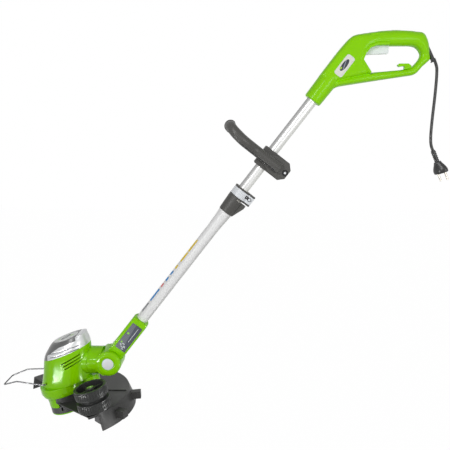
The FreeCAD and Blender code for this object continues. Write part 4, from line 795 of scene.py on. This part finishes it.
bend_start, bend_run, bend_rise = -0.040, 0.075, 0.0095
bend_share_most = 0.95
slot_ends, slot_sides = (0.6072, 0.6110), (-0.072, 0.026)
slots_per_metre, slot_share, slot_shift = 105.0, 0.72, 50.0
slot_face = 0.022         # the strip lies on the near face only
slotted = Finish("slotted_nylon", "charcoal_plastic", {"Roughness": 0.42})
slot_across = slotted.along(pivot, across_shaft)
bend = slotted.maths("MAXIMUM", (bend_start - slot_across) * (1 / bend_run), 0.0)
lift = slotted.maths("POWER", bend, 3.0) * bend_rise
# Painted shade: the slots are near-black dashes painted on the strip, standing in for the shade inside
# their openings.
painted_slot_shade = (band(slotted.along(pivot, up_shaft) - lift, *slot_ends) * band(slot_across, *slot_sides)
         * (slotted.maths("FRACT", slot_across * slots_per_metre + slot_shift) < slot_share)
         * (slotted.along(pivot, near_side) > slot_face))
slotted.feed("Base Color", slotted.blend(painted_slot_shade, slotted.blend(
    slotted.noise(18.0, detail=3.0), shade((64, 63, 60)), shade((74, 73, 70))), shade((8, 8, 8))))
slotted.relief(slotted.noise(500.0), 0.00003)
for node in ("aux_loop", "aux_grip"):
    bent = in_frame(node, shaft)
    for vert in bent.verts:
        share = min(max((bend_start - vert.co.x) / bend_run, 0.0), bend_share_most)
        vert.co.z += bend_rise * share ** 3
    stand(node + ".moulding", bent, shaft, slotted, "aux_handle", (node,))

# Painted highlight: a bright disc in the middle of the black bolt head stands in for a glint of light on
# it.
glint_radius = 0.0026
bolt_black = Finish("bolt_black", "zinc_steel", {"Metallic": 0.2, "Roughness": 0.3})
bolt_low, bolt_high = reach("clamp_bolt", shaft)
bolt_middle = shaft @ ((bolt_low + bolt_high) / 2)
bolt_painted_glint = disc(bolt_black.along(bolt_middle, across_shaft), bolt_black.along(bolt_middle, up_shaft),
                   (0.0, 0.0), glint_radius)
bolt_black.feed("Base Color", bolt_black.blend(bolt_painted_glint, bolt_black.blend(
    bolt_black.noise(300.0), shade((20, 20, 21)), shade((30, 30, 31))), shade((232, 234, 236))))
coat("clamp_bolt", bolt_black)
coat("clamp_nut", steel)


# ---------------------------------------------------------------------------------------------
# Rear handle. Two glossy green shells screwed together down the middle plane: a rounded grip and
# body, a slimmer bar that closes the loop, and the nose that the upper tube is pinned in.

GRIP_OUTLINE = (          # x, z, and how far back each corner's rounding starts
    (-0.1095, 0.0003, 0.007), (-0.1000, 0.0062, 0.007), (-0.0600, 0.0133, 0.016),
    (-0.0230, 0.0172, 0.016), (0.0120, 0.0168, 0.016), (0.0500, 0.0124, 0.004),
    (0.0565, 0.0070, 0.003), (0.0650, -0.0105, 0.008), (0.0680, -0.0372, 0.006),
    (0.0480, -0.0371, 0.006), (0.0420, -0.0215, 0.010), (0.0260, -0.0171, 0.008),
    (-0.0240, -0.0171, 0.0), (-0.0500, -0.0171, 0.006), (-0.0640, -0.0225, 0.006),
    (-0.0730, -0.0330, 0.006), (-0.0785, -0.0470, 0.006), (-0.0610, -0.0745, 0.002),
    (-0.0700, -0.0785, 0.0), (-0.1330, -0.0915, 0.0), (-0.1420, -0.1000, 0.0))
NOSE_EDGE = (             # across the shaft, up from the tube's mouth, and the rounding
    (0.0235, 0.052, 0.0), (-0.0220, 0.052, 0.0), (-0.0225, 0.128, 0.020))
BAR_OUTLINE = (
    (-0.1400, -0.0910, 0.0), (-0.0800, -0.0780, 0.004), (-0.0582, -0.0735, 0.002),
    (0.0041, -0.0684, 0.010), (0.0280, -0.0650, 0.008), (0.0437, -0.0474, 0.006),
    (0.0480, -0.0371, 0.004), (0.0440, -0.0220, 0.0), (0.0640, -0.0200, 0.0),
    (0.0685, -0.0372, 0.004), (0.0700, -0.0464, 0.004), (0.0518, -0.0627, 0.002),
    (0.0505, -0.0650, 0.0), (0.0383, -0.0791, 0.008), (-0.0189, -0.0872, 0.020),
    (-0.0957, -0.0988, 0.010), (-0.1290, -0.1040, 0.004), (-0.1420, -0.1080, 0.0))
handle_half = 0.019
rib_width, rib_root, rib_proud = 0.0062, 0.006, 0.0014
RIB_PATH = (
    (-0.0240, -0.0165), (-0.0500, -0.0165), (-0.0640, -0.0220), (-0.0735, -0.0330),
    (-0.0790, -0.0470), (-0.0605, -0.0745))


def outline_face(corners):
    """A flat face in the middle plane with each (x, z, setback) corner rounded."""
    shape = bmesh.new()
    spots = [shape.verts.new((x, 0.0, z)) for x, z, setback in corners]
    shape.faces.new(spots)
    for spot, (x, z, setback) in zip(spots, corners):
        if setback:
            bmesh.ops.bevel(shape, geom=[spot], offset=setback, offset_type="OFFSET", affect="VERTICES",
                            segments=5, profile=0.5, material=-1)
    return shape


def gridded(shape, step):
    """Cut a flat face into small ones by planes a step apart, both ways."""
    for axis in (Vector((1.0, 0.0, 0.0)), Vector((0.0, 0.0, 1.0))):
        extent = [vert.co.dot(axis) for vert in shape.verts]
        for turn in range(1, math.ceil((max(extent) - min(extent)) / step)):
            split(shape, axis * (min(extent) + turn * step), axis)


def edge_distance(shape):
    """Each vertex with its distance from the rim of the sheet."""
    rims = [edge for edge in shape.edges if edge.is_boundary]
    starts = np.array([edge.verts[0].co for edge in rims])
    runs = np.array([edge.verts[1].co for edge in rims]) - starts
    squares = (runs ** 2).sum(axis=1)
    for vert in shape.verts:
        away = np.array(vert.co) - starts
        share = np.clip((away * runs).sum(axis=1) / squares, 0.0, 1.0)
        yield vert, float(np.sqrt(((away - runs * share[:, None]) ** 2).sum(axis=1)).min())


def swollen(corners, section):
    """Half of a moulding: its outline swells from a wall at the seam to its full half depth.
    section(x, z) gives the half depth, the straight wall's height, and the rounding's width."""
    shape = outline_face(corners)
    for ring in (0.0003, 0.0006, 0.0011):
        bmesh.ops.inset_region(shape, faces=shape.faces[:], thickness=ring, use_even_offset=True)
    gridded(shape, 0.0025)
    depths = []
    for vert, distance in edge_distance(shape):
        half_depth, wall, rounding = section(vert.co.x, vert.co.z)
        rise = math.sqrt(1.0 - (1.0 - min(distance / rounding, 1.0)) ** 2)
        depths.append((vert, wall + (half_depth - wall) * rise))
    rim = [edge for edge in shape.edges if edge.is_boundary]
    for vert, depth in depths:
        vert.co.y = -depth
    walls = bmesh.ops.extrude_edge_only(shape, edges=rim)["geom"]
    for vert in walls:
        if isinstance(vert, bmesh.types.BMVert):
            vert.co.y = 0.0
    bmesh.ops.contextual_create(shape, geom=[
        edge for edge in walls if isinstance(edge, bmesh.types.BMEdge) and edge.is_boundary])
    bmesh.ops.recalc_face_normals(shape, faces=shape.faces[:])
    return shape


def grip_section(x, z):
    """The grip is round in section, the body flatter with soft edges."""
    in_grip = ease(x, -0.095, -0.055) * ease(z, -0.060, -0.030)
    return handle_half, 0.008 - 0.005 * in_grip, 0.009 + 0.008 * in_grip


def bar_section(x, z):
    """The lower bar, deeper where it runs into the nose."""
    return 0.0119 + 0.0050 * ease(-x, 0.010, 0.100), 0.003, 0.0085


nose_low = 0.7833         # the tube's mouth, up the shaft from the tilt joint
nose_corners = [(shaft @ Vector((across, 0.0, nose_low + along)), setback)
                for across, along, setback in NOSE_EDGE]
grip_corners = GRIP_OUTLINE + tuple((spot.x, spot.z, setback) for spot, setback in nose_corners)


def nose_shape():
    """The barrel of the nose, spun round the shaft, with a lip at the mouth of the tube."""
    profile = ((0.0128, 0.0), (0.0185, 0.0), (0.0200, 0.0012), (0.0206, 0.0035), (0.0218, 0.050),
               (0.0208, 0.066), (0.0180, 0.084), (0.0, 0.084))
    shape = bmesh.new()
    spots = [shape.verts.new((radius, 0.0, nose_low + along)) for radius, along in profile]
    for low, high in zip(spots, spots[1:]):
        shape.edges.new((low, high))
    bmesh.ops.spin(shape, geom=shape.verts[:] + shape.edges[:], cent=(0, 0, 0), axis=(0, 0, 1),
                   angle=math.tau, steps=64, use_merge=True)
    bmesh.ops.remove_doubles(shape, verts=shape.verts, dist=0.00001)
    bmesh.ops.holes_fill(shape, edges=shape.edges[:], sides=0)
    bmesh.ops.recalc_face_normals(shape, faces=shape.faces[:])
    bmesh.ops.transform(shape, matrix=shaft, verts=shape.verts)
    halves = bmesh.ops.bisect_plane(shape, geom=shape.verts[:] + shape.edges[:] + shape.faces[:],
                                    plane_co=(0, 0, 0), plane_no=(0, 1, 0), clear_outer=True)["geom_cut"]
    bmesh.ops.contextual_create(
        shape, geom=[edge for edge in halves if isinstance(edge, bmesh.types.BMEdge)])
    return shape


def rib_shape():
    """The raised rib round the front of the opening."""
    shape = bmesh.new()
    line = [Vector((x, 0.0, z)) for x, z in RIB_PATH]
    outer = []
    for turn, spot in enumerate(line):
        before = spot - line[max(turn - 1, 0)]
        after = line[min(turn + 1, len(line) - 1)] - spot
        run = (before.normalized() + after.normalized()).normalized()
        outer.append(spot + Vector((run.z, 0.0, -run.x)) * rib_width)
    shape.faces.new([shape.verts.new(spot) for spot in line + outer[::-1]])
    lifted = bmesh.ops.extrude_face_region(shape, geom=shape.faces[:])["geom"]
    top = [vert for vert in lifted if isinstance(vert, bmesh.types.BMVert)]
    for vert in shape.verts:
        vert.co.y = -handle_half + rib_root
    for vert in top:
        vert.co.y = -handle_half - rib_proud
    bmesh.ops.recalc_face_normals(shape, faces=shape.faces[:])
    return shape


def far_side(shape):
    """The same shape mirrored across the middle plane."""
    bmesh.ops.scale(shape, vec=(1.0, -1.0, 1.0), verts=shape.verts)
    bmesh.ops.reverse_faces(shape, faces=shape.faces[:])
    return shape


for side, node in ((-1, "handle_shell_near"), (1, "handle_shell_far")):
    shell = joined(swollen(grip_corners, grip_section), swollen(BAR_OUTLINE, bar_section),
                   nose_shape(), rib_shape())
    piece = shown(node + ".moulding", shell if side < 0 else far_side(shell), green, "handle", (node,))
    skin = piece.modifiers.new("skin", "REMESH")      # melts the shapes into one skin
    skin.mode = "VOXEL"
    skin.voxel_size = 0.0012
    skin.use_smooth_shade = True
    rub = piece.modifiers.new("rub", "SMOOTH")        # and rubs its edges soft
    rub.factor = 0.5
    rub.iterations = 5
coat("handle_screws", steel)

badge_size = (0.0210, 0.0012, 0.0510)
badge_corner = 0.0050
badge_middle = shaft @ Vector((0.008, -0.0194, 0.8833))
badge_shape = bmesh.new()
bmesh.ops.create_cube(badge_shape, size=1.0, matrix=Matrix.Diagonal((*badge_size, 1.0)))
bmesh.ops.bevel(badge_shape, geom=[edge for edge in badge_shape.edges
                                   if abs(edge.verts[0].co.y - edge.verts[1].co.y) > 0.0001],
                offset=badge_corner, segments=6, profile=0.5, affect="EDGES", material=-1)
bmesh.ops.transform(badge_shape, matrix=Matrix.Translation(badge_middle) @ shaft.to_3x3().to_4x4(),
                    verts=badge_shape.verts)
badge_film = Finish("badge_film", "badge_film", {"Roughness": 0.35})
badge_across = badge_film.along(badge_middle, across_shaft)
badge_up = badge_film.along(badge_middle, up_shaft)
mark = oval(badge_across + 0.001, badge_up - 0.001, 0.0056, 0.0150)
bars = band(badge_across + badge_up * 0.35 + 0.0005, -0.0009, 0.0009) * band(badge_up, -0.009, 0.012)
sprig = oval(badge_across + 0.003, badge_up + 0.0085, 0.0016, 0.0030)
side_rule = block(badge_across, badge_up, ((0.0074, 0.0080), (-0.020, 0.018)))
printed = badge_film.blend(badge_film.noise(200.0), shade((222, 223, 214)), shade((232, 232, 224)))
for place, ink in ((mark, (44, 50, 62)), (bars * mark, (150, 156, 164)), (sprig, (170, 214, 40)),
                   (side_rule, (186, 190, 186))):
    printed = badge_film.blend(place, printed, shade(ink))
badge_film.feed("Base Color", printed)
shown("handle_badge.plate", badge_shape, badge_film, "handle", ("handle_badge",), 0.0003)

relief_top, relief_lean = -0.020, 0.45
relief_stretch, stretch_from, stretch_to = 0.007, 0.020, 0.040
relief = solid_copy("strain_relief")
for vert in relief.verts:
    vert.co.x -= max(vert.co.z - relief_top, 0.0) * relief_lean
    vert.co.z -= relief_stretch * ease(-vert.co.z, stretch_from, stretch_to)
shown("strain_relief.moulding", relief, lead_black, "handle", ("strain_relief",), 0.0003)
dress("trigger", pale, "trigger")
coat("trigger_pin", steel)
coat("trigger_switch", charcoal_black)
coat("switch_bracket", green)
dress("cord_hook", green, "handle")


# ---------------------------------------------------------------------------------------------
# Studio. A pale floor, two soft lamps and a white surround that gives most light from the sides.
# Three cards are seen only in the gloss of the housing and the neck.

drawn_out = 0.28          # room below for the shaft at its longest and the head tilted down
floor_share = 0.993       # of plain white in what is seen of the floor
horizon_light, overhead_light = 0.64, 0.04
floor_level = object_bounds()[0].z - drawn_out
floor_mesh = bpy.data.meshes.new("floor")
floor_shape = bmesh.new()
bmesh.ops.create_grid(floor_shape, x_segments=8, y_segments=8, size=6.0)
floor_shape.to_mesh(floor_mesh)
floor_shape.free()
floor_mesh.transform(Matrix.Translation((aim.x, 0.0, floor_level)))
floor = bpy.data.objects.new("floor", floor_mesh)
bpy.context.scene.collection.objects.link(floor)
floor_finish = Finish("floor", None, {"Base Color": (0.9, 0.9, 0.9, 1.0), "Roughness": 0.9})
rays = floor_finish.node("ShaderNodeLightPath", {}, {}, "Is Camera Ray")
glossy_rays = Value(floor_finish, rays.socket.node.outputs["Is Glossy Ray"])
glow = floor_finish.node("ShaderNodeEmission", {}, {"Color": (1.0, 1.0, 1.0, 1.0), "Strength": 1.0})
mixed = floor_finish.node("ShaderNodeMixShader", {}, {
    0: floor_finish.maths("MAXIMUM", rays, glossy_rays) * floor_share})
floor_finish.tree.links.new(floor_finish.shader.outputs[0], mixed.socket.node.inputs[1])
floor_finish.tree.links.new(glow.socket, mixed.socket.node.inputs[2])
floor_finish.tree.links.new(mixed.socket, floor_finish.tree.nodes["Material Output"].inputs[0])
floor_mesh.materials.append(floor_finish.material)

world = bpy.data.worlds.new("surround")
world.use_nodes = True
bpy.context.scene.world = world
tree = world.node_tree
surround = tree.nodes["Background"]
surround.inputs["Color"].default_value = (1.0, 1.0, 1.0, 1.0)
seen_from = tree.nodes.new("ShaderNodeSeparateXYZ")
tree.links.new(tree.nodes.new("ShaderNodeTexCoord").outputs["Generated"], seen_from.inputs[0])
overhead = tree.nodes.new("ShaderNodeMapRange")
for place, level in enumerate((0.0, 1.0, horizon_light, overhead_light)):
    overhead.inputs[place + 1].default_value = level
tree.links.new(seen_from.outputs[2], overhead.inputs[0])
tree.links.new(overhead.outputs[0], surround.inputs["Strength"])
white = tree.nodes.new("ShaderNodeBackground")
white.inputs["Color"].default_value = (1.0, 1.0, 1.0, 1.0)
white.inputs["Strength"].default_value = 1.0
light_path = tree.nodes.new("ShaderNodeLightPath")
sees_white = light_path.outputs["Is Camera Ray"]
for ray in ("Is Glossy Ray", "Is Transmission Ray"):
    either = tree.nodes.new("ShaderNodeMath")
    either.operation = "MAXIMUM"
    tree.links.new(sees_white, either.inputs[0])
    tree.links.new(light_path.outputs[ray], either.inputs[1])
    sees_white = either.outputs[0]
choice = tree.nodes.new("ShaderNodeMixShader")
tree.links.new(sees_white, choice.inputs[0])
tree.links.new(surround.outputs[0], choice.inputs[1])
tree.links.new(white.outputs[0], choice.inputs[2])
tree.links.new(choice.outputs[0], tree.nodes["World Output"].inputs[0])


def lamp(name, place, looks_at, size, power):
    """A square softbox."""
    light = bpy.data.lights.new(name, "AREA")
    light.size = size
    light.energy = power
    box = bpy.data.objects.new(name, light)
    box.location = place
    box.rotation_mode = "QUATERNION"
    box.rotation_quaternion = (Vector(looks_at) - Vector(place)).to_track_quat("-Z", "Y")
    bpy.context.scene.collection.objects.link(box)
    return box


lamp("key_lamp", (-0.9, -1.5, 0.35), aim, 0.5, 10.0)
lamp("fill_lamp", (0.7, -1.5, -0.35), aim, 0.7, 8.0)
for name, place, looks_at, width, height, power in (
        ("housing_card", (-0.950, -0.355, -0.868), (-0.784, -0.053, -0.788), 0.29, 0.034, 2.6),
        ("corner_card", (-0.405, -0.132, -0.866), (-0.731, -0.034, -0.790), 0.06, 0.04, 0.4),
        ("neck_card", (-1.08, -1.08, -0.30), (-0.718, -0.030, -0.742), 0.22, 0.12, 4.0)):
    card = lamp(name, place, looks_at, width, power)
    card.data.shape = "RECTANGLE"
    card.data.size_y = height
    card.visible_diffuse = False
    card.visible_camera = False

scene = bpy.context.scene
scene.view_settings.view_transform = "Standard"
